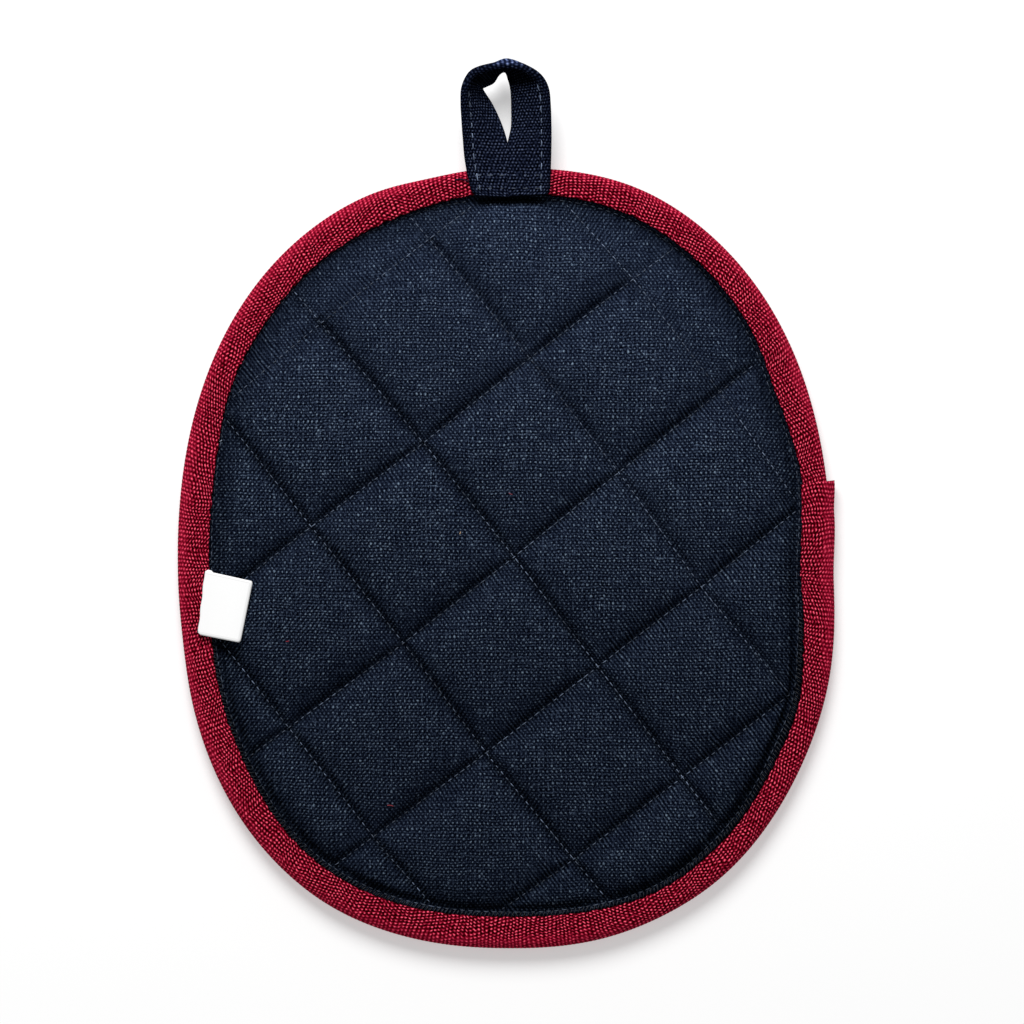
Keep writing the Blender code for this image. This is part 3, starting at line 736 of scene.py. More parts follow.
def rim_seam_in(angle):
    """How far the seam round the rim lies inside the tape's edge, at an angle in degrees."""
    angles, places = np.array(RIM_SEAM).T
    return np.interp(np.mod(angle, 360.0), angles, places)


def rim_drawn_in(x, y):
    """How deep the seam round the rim is drawn in: 1 where the ridge beside it is full."""
    return (rim_seam_in(angle_at(x, y)) / RIM_SEAM_IN) ** 2


def inside_tape(x, y):
    """How far a plan point lies inside the tape's edge."""
    return tape_edge_radius(angle_at(x, y)) - np.hypot(x, y)


def inside_rim_seam(x, y):
    """How far a plan point lies inside the seam round the rim."""
    return inside_tape(x, y) - rim_seam_in(angle_at(x, y))


def lumps(x, y, length, seed):
    """Smooth noise from -1 to 1 at plan points, with bumps about one length wide."""
    places = zip(x / length, y / length)
    return np.array([noise.noise(Vector((a, b, seed))) for a, b in places])


def on_ring(angle, radius):
    turn = np.radians(angle)
    return radius * np.cos(turn), radius * np.sin(turn)


def in_frame(points):
    """Points in mm from the oval's middle as points of the frame."""
    return ((np.asarray(points) + oval_middle()) * MM).tolist()


def put_in_scene(name, data):
    thing = bpy.data.objects.new(name, data)
    bpy.context.scene.collection.objects.link(thing)
    return thing


def make_piece(name, points, faces, material, uv=None):
    """One object in the frame from points in mm from the oval's middle, its faces outwards."""
    data = bpy.data.meshes.new(name)
    data.from_pydata(in_frame(points), [], faces)
    if uv is not None:
        corners = np.zeros(len(data.loops), int)
        data.loops.foreach_get("vertex_index", corners)
        layer = data.uv_layers.new(name="weave")
        layer.data.foreach_set("uv", np.asarray(uv)[corners].ravel())
    mesh = bmesh.new()
    mesh.from_mesh(data)
    bmesh.ops.triangulate(mesh, faces=[face for face in mesh.faces if len(face.verts) > 4])
    bmesh.ops.recalc_face_normals(mesh, faces=mesh.faces)
    mesh.to_mesh(data)
    mesh.free()
    data.shade_smooth()
    data.materials.append(material)
    return put_in_scene(name, data)


def store_painted_shading(piece, shares):
    """Store the painted shading of each point of a piece: how much darker than the rest it is painted, or
    paler where below 0.
    """
    attribute = piece.data.attributes.new("painted_shading", "FLOAT", "POINT")
    attribute.data.foreach_set("value", np.asarray(shares, float))


def skin(sections):
    """Points and faces of a closed skin over rows of equal cross-sections, with both ends closed."""
    count, around = len(sections), len(sections[0])
    faces = []
    for row in range(count - 1):
        here, following = row * around, (row + 1) * around
        for index in range(around):
            after = (index + 1) % around
            faces.append((here + index, here + after, following + after, following + index))
    faces.append(tuple(reversed(range(around))))
    faces.append(tuple(range((count - 1) * around, count * around)))
    return np.concatenate(sections), faces


# --- quilted pad ---

def seam_distance(x, y):
    """Signed distances to the nearest falling seam and the nearest rising seam, positive above a seam."""
    u, v = to_quilt(x, y)
    nearest = []
    for rows, place, along in ((FALLING_SEAMS, u, v), (RISING_SEAMS, v, u)):
        away = np.array([place - seam_place(row, along) for row in rows])
        nearest.append(np.take_along_axis(away, np.abs(away).argmin(axis=0)[None], axis=0)[0])
    return nearest


def filling(x, y):
    """Share of the full crown at plan points: nothing on a seam or outside the seam round the rim."""
    inside = np.maximum(inside_rim_seam(x, y), 0.0)
    falling, rising = seam_distance(x, y)
    at_sides, below = RIM_STEEP
    lower = smooth(at_sides - below * y / (np.hypot(x, y) + 1.0))
    share = puff(inside, np.maximum(lower, at_loop(x, y)))
    for distance, slack in zip((falling, rising), slackness(x, y)):
        share = share * (slack + (1 - slack) * puff(np.abs(distance), distance > 0))
    return share


def at_loop(x, y):
    """1 inside the loop's ends and 0 away from them, where the pad rises steeply against them."""
    return falloff(x, LOOP_DITCH_HALF, 4) * (y > 0)


def slackness(x, y):
    """How far the falling and the rising seams leave the filling its height.

    The last seam of each family does so all along, and the others only at their upper ends.
    """
    full, start, over = SLACK
    falling_end, rising_end, over_end = SLACK_ENDS
    up_from, up_over = SLACK_UP
    u, v = to_quilt(x, y)
    falling = np.maximum(smooth((u - start) / over), smooth((v - falling_end) / over_end))
    rising_past = smooth((u - rising_end) / over_end) * smooth((y - up_from) / up_over)
    rising = np.maximum(smooth((v - start) / over), rising_past)
    return [full * falling, full * rising]


def drawn_in(x, y):
    """How deep the falling seams and the rising seams are drawn in, as shares of the usual."""
    u, _ = to_quilt(x, y)
    return [np.interp(u, *zip(*FALLING_DRAWN)), 1.0]


def under_thread(x, y, reach, lost):
    """For the falling and then the rising seams, how fully plan points lie under the thread, out to a reach.

    A slack seam loses as much of that as lost says, for each share that it is slack.
    """
    ending = smooth(inside_rim_seam(x, y) / GROOVE_END)
    for distance, slack, deep in zip(seam_distance(x, y), slackness(x, y), drawn_in(x, y)):
        yield deep * (1 - lost * slack) * falloff(distance + GROOVE_BELOW, reach) * ending


def ridge(x, y):
    """Rise of the cloth between the seam round the rim and the tape."""
    share = inside_tape(x, y) / rim_seam_in(angle_at(x, y))
    tall = RIDGE_UP * rim_drawn_in(x, y)
    return tall * np.maximum(0.0, 1.0 - np.abs(share - RIDGE_IN) / (1.0 - RIDGE_IN))


def pucker_waves(x, y, distance, place, pucker, seed):
    """Small waves at a distance from a seam and a place along it."""
    height, length, reach, unevenly = pucker
    wave = np.sin(2 * math.pi * place / length + unevenly * lumps(x, y, 3 * length, seed))
    return height * wave * np.exp(-distance / reach) * bank(distance, reach / 2)


def puckers(x, y):
    """Small waves that the stitches draw into the cloth beside each seam."""
    u, v = to_quilt(x, y)
    falling, rising = np.abs(seam_distance(x, y))
    inside = np.abs(inside_rim_seam(x, y))
    around = np.arctan2(y, x) * RIM_MEAN
    return (pucker_waves(x, y, falling, v, QUILT_PUCKER, seed=4.0)
            + pucker_waves(x, y, rising, u, QUILT_PUCKER, seed=4.0)
            + pucker_waves(x, y, inside, around, RIM_PUCKER, seed=9.0))


def groove(x, y):
    """The narrow groove along each seam, as far down as it goes at plan points."""
    depth, reach = GROOVE
    rim_depth, rim_reach = RIM_GROOVE
    ditch_in, ditch_reach = LOOP_DITCH
    dip, dip_reach = EDGE_DIP
    inside = inside_rim_seam(x, y)
    grooves = [depth * share for share in under_thread(x, y, reach, GROOVE_LOST)]
    grooves.append(rim_depth * rim_drawn_in(x, y) * falloff(inside - RIM_GROOVE_IN, rim_reach))
    grooves.append(rim_depth * at_loop(x, y) * falloff(inside - ditch_in, ditch_reach))
    grooves.append(dip * falloff(inside_tape(x, y), dip_reach))
    return np.maximum.reduce(grooves)


def gathering(x, y):
    """How far the floats lean towards one diagonal or the other, -1 to 1, and how far they are drawn out."""
    falling, rising = np.abs(seam_distance(x, y))
    inside = np.maximum(inside_rim_seam(x, y), 0.0)
    whole, varying, slowly = GATHERS_UNEVEN
    uneven = whole + varying * lumps(x, y, slowly, seed=6.0)
    by_rising, by_falling, by_rim = (
        strength * uneven * falloff(distance, reach)
        for (reach, strength), distance in zip(GATHERS, (rising, falling, inside)))
    slant = np.sin(2 * np.arctan2(y, x))
    sheared = x * MM * np.interp(y, *SHEAR)
    patch, patch_length = PATCHES
    patchy = patch * lumps(x, y, patch_length, seed=12.0)
    drawn = np.clip(np.maximum(np.maximum(by_rising, by_falling), by_rim * np.abs(slant)), 0.0, 1.0)
    lean = sheared + by_rising - by_falling - by_rim * slant + patchy * (1 - drawn)
    return np.column_stack((np.clip(lean, -1.0, 1.0), drawn, np.zeros_like(x)))


def painted_canvas_shade(x, y):
    """Painted shade: how much darker the canvas is painted at the seams, towards the binding, on the ridge
    and under the loop.
    """
    falling, _ = seam_distance(x, y)
    inside = inside_rim_seam(x, y)
    below, reach, share = BELOW_FALLING
    left = 1 - share * drawn_in(x, y)[0] * falloff(falling + below, reach) * smooth(inside / GROOVE_END)
    share, reach = THREAD_DARK
    for under in under_thread(x, y, reach, 1.0):
        left *= 1 - share * under
    share, past = RIDGE_DARK
    on_ridge = np.minimum(rim_drawn_in(x, y), 1.0) * smooth(past - inside)
    left *= 1 - share * on_ridge
    share, reach = TAPE_DARK
    at_end = at_loop(x, y)
    left *= 1 - share * falloff(inside_tape(x, y), reach) * (1 - on_ridge) * (1 - at_end)
    ditch_in, ditch_reach = LOOP_DITCH
    return 1 - left * (1 - DITCH_DARK * at_end * falloff(inside - ditch_in, ditch_reach))


def pad_top(x, y):
    share = filling(x, y)
    height, length = FILLING_LUMPS
    uneven = height * lumps(x, y, length, seed=2.0) * share
    return MID_Z + SEAM_HALF + CROWN_UP * share + ridge(x, y) + uneven + puckers(x, y) - groove(x, y)


def pad_bottom(x, y):
    return np.maximum(0.0, MID_Z - SEAM_HALF - CROWN_DOWN * filling(x, y) - ridge(x, y))


def cloth_place(x, y):
    """Where a plan point lies on the flat canvas: the seams have drawn the cloth together."""
    extra, reach = TAKE_UP
    u, v = to_quilt(x, y)
    along = u + extra * sum(np.tanh((u - seam_place(row, v)) / reach) for row in FALLING_SEAMS)
    across = v + extra * sum(np.tanh((v - seam_place(row, u)) / reach) for row in RISING_SEAMS)
    return np.column_stack(from_quilt(along, across))


def crossings():
    """Where the seams cross, with one further line of crossings outside the pad on each side."""
    def widened(rows):
        before = tuple(place - NEXT_SEAM for place in rows[0])
        after = tuple(place + NEXT_SEAM for place in rows[-1])
        return (before, *rows, after)

    grid = []
    for falling in widened(FALLING_SEAMS):
        line = []
        for rising in widened(RISING_SEAMS):
            u = v = 0.0
            for _ in range(4):
                u, v = seam_place(falling, v), seam_place(rising, u)
            line.append(from_quilt(u, v))
        grid.append(line)
    return np.array(grid)


def face_plan(step, rings):
    """Plan mesh of one face of the pad: points, faces and the outline's points, closer beside the seams."""
    grid = crossings()
    cells = len(grid) - 1
    parts = round(DIAMOND / step)
    even = np.arange(cells * parts + 1) / parts
    whole = np.minimum(even.astype(int), cells - 1)
    share = even - whole
    share = share - CLOSER * np.sin(2 * math.pi * share) / (2 * math.pi)
    i, j = np.meshgrid(whole, whole, indexing="ij")
    share_i, share_j = (part[..., None] for part in np.meshgrid(share, share, indexing="ij"))
    near = grid[i, j] * (1 - share_i) + grid[i + 1, j] * share_i
    far = grid[i, j + 1] * (1 - share_i) + grid[i + 1, j + 1] * share_i
    lattice = (near * (1 - share_j) + far * share_j).reshape(-1, 2)
    depth = inside_rim_seam(lattice[:, 0], lattice[:, 1])
    points = [Vector(point) for point in lattice[depth > LEAST_DEPTH]]

    angles = np.arange(RING_POINTS) * (360.0 / RING_POINTS)
    edges = []
    outline = []
    for radius in rings:
        outline = list(range(len(points), len(points) + RING_POINTS))
        points += [Vector(place) for place in zip(*on_ring(angles, radius(angles)))]
        edges += [(index, outline[(place + 1) % RING_POINTS]) for place, index in enumerate(outline)]
    inside_only, same_point = 1, 1e-5
    plan, _, faces, source, _, _ = delaunay_2d_cdt(points, edges, [], inside_only, same_point)
    new_index = {old: new for new, olds in enumerate(source) for old in olds}
    return np.array([tuple(point) for point in plan]), faces, [new_index[old] for old in outline]


def at_share(share):
    """Radius of a ring at a share of the way from the tape's edge to the seam inside it."""
    return lambda angle: tape_edge_radius(angle) - share * rim_seam_in(angle)


def pad_rings(shares):
    """Rings inside the tape's edge, one just under it and the outermost one in its fold."""
    return [*(at_share(share) for share in shares), lambda angle: tape_edge_radius(angle) + TUCKED_RING,
            lambda angle: rim_radius(angle) - TAPE_OUTSIDE]


def make_pad():
    """One filled solid: an upper and an under face joined round the edge."""
    settings = bpy.context.scene.pot_holder_pad
    points = []
    faces = []
    uv = []
    outlines = []
    sides = (
        (settings.top_step / MM, pad_rings(TOP_RINGS), pad_top, 1),
        (settings.under_step / MM, pad_rings(UNDER_RINGS), pad_bottom, -1),
    )
    for step, rings, height, side in sides:
        plan, plan_faces, outline = face_plan(step, rings)
        x, y = plan.T
        covered = inside_tape(x, y) < -CLEARANCE
        z = np.where(covered, MID_Z + side * EDGE_HALF, height(x, y))
        start = len(points)
        points += np.column_stack((x, y, z)).tolist()
        uv += cloth_place(x, y).tolist()
        faces += [tuple(start + index for index in face[::side]) for face in plan_faces]
        outlines.append([start + index for index in outline])
    upper, under = outlines
    middle = []
    for index in upper:
        x, y, _ = points[index]
        grown = 1.0 + EDGE_HALF / math.hypot(x, y)
        middle.append(len(points))
        points.append((x * grown, y * grown, MID_Z))
        uv.append((x * grown, y * grown))
    for place in range(RING_POINTS):
        after = (place + 1) % RING_POINTS
        faces.append((upper[after], upper[place], middle[place], middle[after]))
        faces.append((middle[after], middle[place], under[place], under[after]))
    pad = make_piece("pad_canvas", points, faces, cotton_canvas(), uv)
    x, y = np.array(points)[:, :2].T
    attribute = pad.data.attributes.new("gathering", "FLOAT_VECTOR", "POINT")
    attribute.data.foreach_set("vector", gathering(x, y).ravel())
    # Painted shade at the seams, by the tape, on the ridge and in the ditch below the loop, stored on the
    # points.
    store_painted_shading(pad, painted_canvas_shade(x, y))
    return pad


# --- binding ---

def rib_turns():
    """Angle of each cross-section of the binding, two to a rib, and the distance along the tape there."""
    fine = np.linspace(LAP_START, LAP_END, 4000)
    x, y = on_ring(fine, (rim_radius(fine) + tape_edge_radius(fine)) / 2)
    run = np.concatenate(([0.0], np.cumsum(np.hypot(np.diff(x), np.diff(y)))))
    ribs = np.arange(0.0, run[-1], RIB_PITCH / 2)
    return np.interp(ribs, run, fine), ribs


def tape_section(turn, rise, stray):
    """Radius, height and distance across of the tape's cross-section, outside first and then inside back."""
    over_start = LAP_START + 360.0
    climb = smooth((turn - over_start + LAP_RAMP) / LAP_RAMP)
    loose = smooth((turn - over_start) / (LAP_END - over_start))
    lift = (TAPE + CLEARANCE) * climb
    centre = rim_radius(turn) + FOLD_OUT + wander(turn, FOLD_OUT_WANDER) - TAPE_OUTSIDE + LAP_FLARE * loose
    edge = tape_edge_radius(turn) - CLEARANCE * climb + stray
    arc = np.radians(np.linspace(90.0, -90.0, FOLD_PARTS + 1))
    flat = np.linspace(0.0, 1.0, FLAT_PARTS + 1)[:-1]
    sides = []
    for radius in (TAPE_OUTSIDE + lift + rise, TAPE_INSIDE + lift):
        outwards = edge + (centre - edge) * flat
        r = np.concatenate((outwards, centre + radius * np.cos(arc), outwards[::-1]))
        z = np.concatenate((np.full(FLAT_PARTS, radius), radius * np.sin(arc), np.full(FLAT_PARTS, -radius)))
        across = np.concatenate(([0.0], np.cumsum(np.hypot(np.diff(r), np.diff(z)))))
        sides.append(np.array((r, MID_Z + z, across)))
    outside, inside = sides
    outside[1, 0] -= EDGE_LOW
    outside[1, -1] += EDGE_LOW
    return np.concatenate((outside, inside[:, ::-1]), axis=1)


def make_binding():
    """Tape folded round the pad's edge, one turn and a little more, its end lapped over its start."""
    sections = []
    uv = []
    strays, length = EDGE_STRAY
    for index, (turn, run) in enumerate(zip(*rib_turns())):
        side = 1 if index % 2 else -1
        stray = strays * noise.noise(Vector((run / length, 0.0, 5.0))) - RIB_OUT * side
        stray -= EDGE_IN + wander(turn, EDGE_IN_WANDER)
        radius, height, across = tape_section(turn, RIB_RISE * side, stray)
        inwards = (radius.max() - radius) / (radius.max() - radius.min())
        lean = LAP_LEAN * smooth((turn - LAP_END) / LAP_RAMP + 1.0)
        x, y = on_ring(turn + lean * inwards, radius)
        sections.append(np.column_stack((x, y, height)))
        uv.append(np.column_stack((np.full_like(across, run), across)))
    points, faces = skin(sections)
    settings = bpy.context.scene.pot_holder_tape
    # Its fold, from 4.6 mm across, is painted paler: a painted highlight and sheen where it turns from the
    # light.
    material = ribbed_tape("ribbed woven polyester tape, red", {
        "pitch": (RIB_PITCH * MM, BEAD_PITCH * MM), "slip": BEAD_SLIP * MM,
        "waves": ((1, 0, 0.8), (0, 1, 1.05), (1, -1, 0.75)), "fibre": 1.05, "waver": 3.6, "level": -0.27,
        "contrast": 1.0, "paled": (4.6, 8.5, 0.7, 0.65),
        "colours": (settings.red_side, settings.red_crown)})
    return make_piece("binding_tape", points, faces, material, np.concatenate(uv))


# --- hanging loop ---

def between(rows, place):
    """Row of a table at a place between its rows, on a smooth curve through them."""
    last = len(rows) - 1
    index = min(int(place), last - 1)
    share = place - index
    before, near, far, after = (np.array(rows[min(max(index + step, 0), last)]) for step in (-1, 0, 1, 2))
    slope_near, slope_far = (far - before) / 2, (after - near) / 2
    bend = (1 - share) * slope_near - share * slope_far
    chord = near + (far - near) * share
    return chord + share * (1 - share) * (bend - (1 - 2 * share) * (far - near))


def unit(vector):
    return vector / np.linalg.norm(vector)


def loop_frames():
    """For each cross-section of the loop: its row, the way across it, its face's direction, the run there.

    The last value is how far the tape stands up there, because its end is turned under.
    """
    last = (len(LOOP_STATIONS) - 1) * LOOP_PARTS
    rows = [between(LOOP_STATIONS, index / LOOP_PARTS) for index in range(last + 1)]
    middles = np.array([(row[0:3] + row[3:6]) / 2 for row in rows])
    runs = np.concatenate(([0.0], np.cumsum(np.linalg.norm(np.diff(middles, axis=0), axis=1))))
    turned_up, turned_length, steepness = LOOP_TURN_UNDER
    raised = turned_up * smooth((turned_length - np.minimum(runs, runs[-1] - runs)) * steepness)
    frames = []
    for index, row in enumerate(rows):
        along = unit(middles[min(index + 1, last)] - middles[max(index - 1, 0)])
        across = unit(row[3:6] - row[0:3])
        frames.append((row, across, unit(np.cross(across, along)), runs[index], raised[index]))
    return frames


def loop_point(row, across, face, distance, height):
    """Point of the loop at a distance from its outer edge and a height over its middle sheet."""
    width = np.linalg.norm(row[3:6] - row[0:3])
    bulge = row[6] * (1.0 - (2.0 * distance / width - 1.0) ** 2)
    return row[0:3] + across * distance + face * (height - bulge)


def loop_section(width, raised):
    """Cross-section of the loop: distance from its outer edge, height, and distance along the skin."""
    hem, hem_width, hem_end = LOOP_HEM
    depth, reach = LOOP_GROOVE
    turns = np.linspace(0.0, math.pi / 2, LOOP_END_PARTS)
    outer = [(LOOP_HALF * (1 - math.cos(turn)), LOOP_HALF * math.sin(turn)) for turn in turns]
    flat = [(place, LOOP_HALF) for place in np.linspace(LOOP_HALF, width - LOOP_HALF, LOOP_ACROSS)[1:-1]]
    upper = np.array(outer + flat + [(width - place, height) for place, height in reversed(outer)])
    under = upper[1:-1] * (1.0, -1.0)
    place, height = upper.T
    seam = depth * falloff(place - LOOP_SEAM_IN, reach)
    height += (hem * smooth((hem_width - place) / hem_end) + raised) * smooth(height) - seam * (height > 0)
    sides = []
    for side in (upper, under):
        skin_run = np.concatenate(([0.0], np.cumsum(np.hypot(*np.diff(side, axis=0).T))))
        sides.append(np.column_stack((side, skin_run)))
    return np.concatenate((sides[0], sides[1][::-1]))


def make_loop():
    """Folded tape sewn flat at both ends and turned up on edge round its eye."""
    sections = []
    uv = []
    inside = []
    eye_from, eye_over, eye_in, eye_dark = LOOP_INSIDE
    middle, highlight_half, highlight_from, highlight_over, paler = LOOP_PAINTED_HIGHLIGHT
    for row, across, face, run, raised in loop_frames():
        section = loop_section(np.linalg.norm(row[3:6] - row[0:3]), raised)
        distance, height, skin_run = section.T
        sections.append(np.array([loop_point(row, across, face, d, h) for d, h, _ in section]))
        uv.append(np.column_stack((np.full(len(section), run), skin_run)))
        x, y, _ = sections[-1].T
        # Painted shade inside the eye under its arch, less a painted highlight on the outside of the arch.
        dark = eye_dark * (height > 0) * smooth(distance - eye_in) * smooth((y - eye_from) / eye_over)
        paled = paler * smooth((-height - highlight_from) / highlight_over) * falloff(x - middle, highlight_half, 4)
        inside.append(dark - paled * (y > eye_from))
    points, faces = skin(sections)
    settings = bpy.context.scene.pot_holder_tape
    material = ribbed_tape("ribbed woven cotton tape, navy", {
        "pitch": (LOOP_RIB * MM, LOOP_BEAD * MM), "slip": LOOP_SLIP * MM,
        "waves": ((1, 0, 0.9), (0, 1, 0.85), (1, 1, 0.6)), "fibre": 1.1, "waver": 1.6, "level": -0.3,
        "contrast": 0.9, "paled": (2.2, 1.5, -0.25, 0.3),
        "colours": (settings.navy_side, settings.navy_crown)})
    loop = make_piece("loop_tape", points, faces, material, np.concatenate(uv))
    store_painted_shading(loop, np.concatenate(inside))
    return loop


# --- label ---

def make_label():
    """White tape folded once: two layers with the fold to the right, its ends on the binding; blank."""
    low = MID_Z + TAPE_OUTSIDE + CLEARANCE
    fold = LABEL_LAYER + LABEL_GAP / 2
    corner = {name: np.array(place) for name, place in LABEL_CORNERS.items()}
    height = np.linalg.norm(corner["top_left"] - corner["bottom_left"])
    slipped, slip_length = LABEL_SLIPPED
    waves, wave_length = LABEL_WAVES
    sections = []
    uv = []
    for part in range(LABEL_DOWN + 1):
        down = part / LABEL_DOWN
        from_end = min(down, 1 - down) * height
        cut = LABEL_CORNER * (1 - math.sqrt(1 - max(0.0, 1 - from_end / LABEL_CORNER) ** 2))
        start = corner["top_left"] * (1 - down) + corner["bottom_left"] * down
        end = corner["top_right"] * (1 - down) + corner["bottom_right"] * down
        width = np.linalg.norm(end - start)
        heading = (end - start) / width
        begin = waves * math.sin(2 * math.pi * down * height / wave_length) + cut
        steps = np.linspace(begin, width - fold - LABEL_FOLD_CORNER * cut, LABEL_ALONG + 1)
        lies = low + LABEL_RISE * smooth(steps / width)
        line = []
        for near, radius in ((0.0, fold), (LABEL_LAYER, LABEL_GAP / 2)):
            turns = np.linspace(-math.pi / 2, math.pi / 2, NOSE_PARTS + 1)[1:-1]
            under = list(zip(steps, lies + near))
            nose = [(steps[-1] + radius * math.cos(a), lies[-1] + fold + radius * math.sin(a)) for a in turns]
            upper = list(zip(steps, lies + 2 * fold - near))[::-1]
            side = under + nose + upper
            line += side if near == 0.0 else side[::-1]
        points = []
        for along, z in line:
            x, y = start + heading * along
            if z < low + fold and along < slip_length:
                y += slipped * (1 - down)
            points.append((x, y, z))
        sections.append(np.array(points))
        uv.append(np.array([(width - along, down * height) for along, z in line]))
    points, faces = skin(sections)
    return make_piece("label_blank", points, faces, label_tape(height), np.concatenate(uv))


# --- sewing ---

def sewing_tree():
    """Geometry Nodes that lay one stitch after another along each line, its top facing the line's up."""
    tree = bpy.data.node_groups.new("rows_of_stitches", "GeometryNodeTree")
    sockets = (
        ("Lines", "NodeSocketGeometry", None),
        ("Pitch", "NodeSocketFloat", 2.4 * MM),
        ("Length", "NodeSocketFloat", 1.6 * MM),
        ("Width", "NodeSocketFloat", 0.36 * MM),
        ("Unevenness", "NodeSocketFloat", 0.07),
        ("Slant", "NodeSocketFloat", 0.0),
        ("Palest", "NodeSocketFloat", 1.4),
        ("Faintest", "NodeSocketFloat", 0.45),
        ("Seed", "NodeSocketInt", 7),
        ("Thread", "NodeSocketMaterial", None),
    )
    for name, kind, default in sockets:
        socket = tree.interface.new_socket(name, in_out="INPUT", socket_type=kind)
        if default is not None:
            socket.default_value = default
    tree.interface.new_socket("Stitches", in_out="OUTPUT", socket_type="NodeSocketGeometry")
    given = add(tree, "NodeGroupInput").outputs

    curve = add(tree, "GeometryNodeMeshToCurve", {"Mesh": given["Lines"]})
    places = add(tree, "GeometryNodeResampleCurve", {"Curve": curve, "Length": given["Pitch"]}, mode="LENGTH")

    half = add(tree, "ShaderNodeMath", {0: given["Length"], 1: 0.5}, operation="MULTIPLY")
    back = add(tree, "ShaderNodeMath", {0: half, 1: -1.0}, operation="MULTIPLY")
    sunk = add(tree, "ShaderNodeMath", {0: given["Width"], 1: STITCH_BOW[0]}, operation="MULTIPLY")
    risen = add(tree, "ShaderNodeMath", {0: given["Width"], 1: STITCH_BOW[1]}, operation="MULTIPLY")
    start = add(tree, "ShaderNodeCombineXYZ", {"X": back, "Z": sunk})
    top = add(tree, "ShaderNodeCombineXYZ", {"Z": risen})
    end = add(tree, "ShaderNodeCombineXYZ", {"X": half, "Z": sunk})
    bow = add(tree, "GeometryNodeCurveQuadraticBezier",
              {"Resolution": 5, "Start": start, "Middle": top, "End": end})
    thick = add(tree, "ShaderNodeMath", {0: given["Width"], 1: 0.5}, operation="MULTIPLY")
    ring = add(tree, "GeometryNodeCurvePrimitiveCircle", {"Resolution": 6, "Radius": thick})
    stitch = add(tree, "GeometryNodeCurveToMesh", {"Curve": bow, "Profile Curve": ring, "Fill Caps": True})

    tangent = add(tree, "GeometryNodeInputTangent")
    up = add(tree, "GeometryNodeInputNamedAttribute", {"Name": "up"}, data_type="FLOAT_VECTOR")
    headed = add(tree, "FunctionNodeAlignRotationToVector", {"Vector": tangent}, axis="X")
    facing = add(tree, "FunctionNodeAlignRotationToVector", {"Rotation": headed, "Vector": up},
                 axis="Z", pivot_axis="X")
    least = add(tree, "ShaderNodeMath", {0: given["Slant"], 1: given["Unevenness"]}, operation="SUBTRACT")
    most = add(tree, "ShaderNodeMath", {0: given["Slant"], 1: given["Unevenness"]}, operation="ADD")
    chances = []
    for index, (low, high) in enumerate(((least, most), STITCH_LENGTHS, (STITCH_DULLEST, 1.0))):
        seed = add(tree, "ShaderNodeMath", {0: given["Seed"], 1: float(index)}, operation="ADD")
        chance = add(tree, "FunctionNodeRandomValue", {2: low, 3: high, "Seed": seed}, data_type="FLOAT")
        chances.append(chance.outputs[1])
    yaw, longer, paler = chances
    swing = add(tree, "FunctionNodeAxisAngleToRotation", {"Axis": (0.0, 0.0, 1.0), "Angle": yaw})
    turned = add(tree, "FunctionNodeRotateRotation", {"Rotation": facing, "Rotate By": swing},
                 rotation_space="LOCAL")
    sized = add(tree, "ShaderNodeCombineXYZ", {"X": longer, "Y": 1.0, "Z": 1.0})
    laid = add(tree, "GeometryNodeInstanceOnPoints",
               {"Points": places, "Instance": stitch, "Rotation": turned, "Scale": sized})

    where = add(tree, "GeometryNodeInputPosition")
    closely, dull, pale = PALE_STRETCHES
    stretches = add(tree, "ShaderNodeTexNoise", {"Vector": where, "Scale": closely, "Detail": 0.0})
    lit = add(tree, "ShaderNodeMapRange", {"Value": stretches.outputs[0], "From Min": dull, "From Max": pale,
                                           "To Min": given["Faintest"]})
    shining = add(tree, "ShaderNodeMath", {0: lit.outputs[0], 1: paler}, operation="MULTIPLY")
    lighter = add(tree, "ShaderNodeMath", {0: shining, 1: given["Palest"]}, operation="MULTIPLY")
    shaded = add(tree, "GeometryNodeStoreNamedAttribute",
                 {"Geometry": laid, "Name": "shade", "Value": lighter},
                 data_type="FLOAT", domain="INSTANCE")
    real = add(tree, "GeometryNodeRealizeInstances", {"Geometry": shaded})
    soft = add(tree, "GeometryNodeSetShadeSmooth", {"Geometry": real})
    threaded = add(tree, "GeometryNodeSetMaterial", {"Geometry": soft, "Material": given["Thread"]})
    add(tree, "NodeGroupOutput", {"Stitches": threaded})
    return tree


def sew(name, lines, thread, sewing):
    """Sew along lines, each a list of points in mm with the way up at each, and return the plain mesh.

    sewing holds those of the tree's inputs that aren't the usual ones of the thread.
    """
    settings = bpy.context.scene.pot_holder_thread
    points = []
    ups = []
    edges = []
    for line, up in lines:
        start = len(points)
        points += line
        ups += up
        edges += [(start + index, start + index + 1) for index in range(len(line) - 1)]
    data = bpy.data.meshes.new(name)
    data.from_pydata(in_frame(points), edges, [])
    attribute = data.attributes.new("up", "FLOAT_VECTOR", "POINT")
    attribute.data.foreach_set("vector", np.asarray(ups, float).ravel())
    guide = put_in_scene(name + "_guide", data)
    modifier = guide.modifiers.new("sewing", "NODES")
    modifier.node_group = bpy.data.node_groups.get("rows_of_stitches") or sewing_tree()
    values = {"Pitch": settings.pitch, "Length": settings.length, "Width": settings.width, "Thread": thread,
              **sewing}
    for socket in modifier.node_group.interface.items_tree:
        if socket.name in values:
            modifier[socket.identifier] = values[socket.name]
    depsgraph = bpy.context.evaluated_depsgraph_get()
    mesh = bpy.data.meshes.new_from_object(guide.evaluated_get(depsgraph))
    mesh.name = name
    guide.modifiers.remove(modifier)
    bpy.data.objects.remove(guide)
    return put_in_scene(name, mesh)


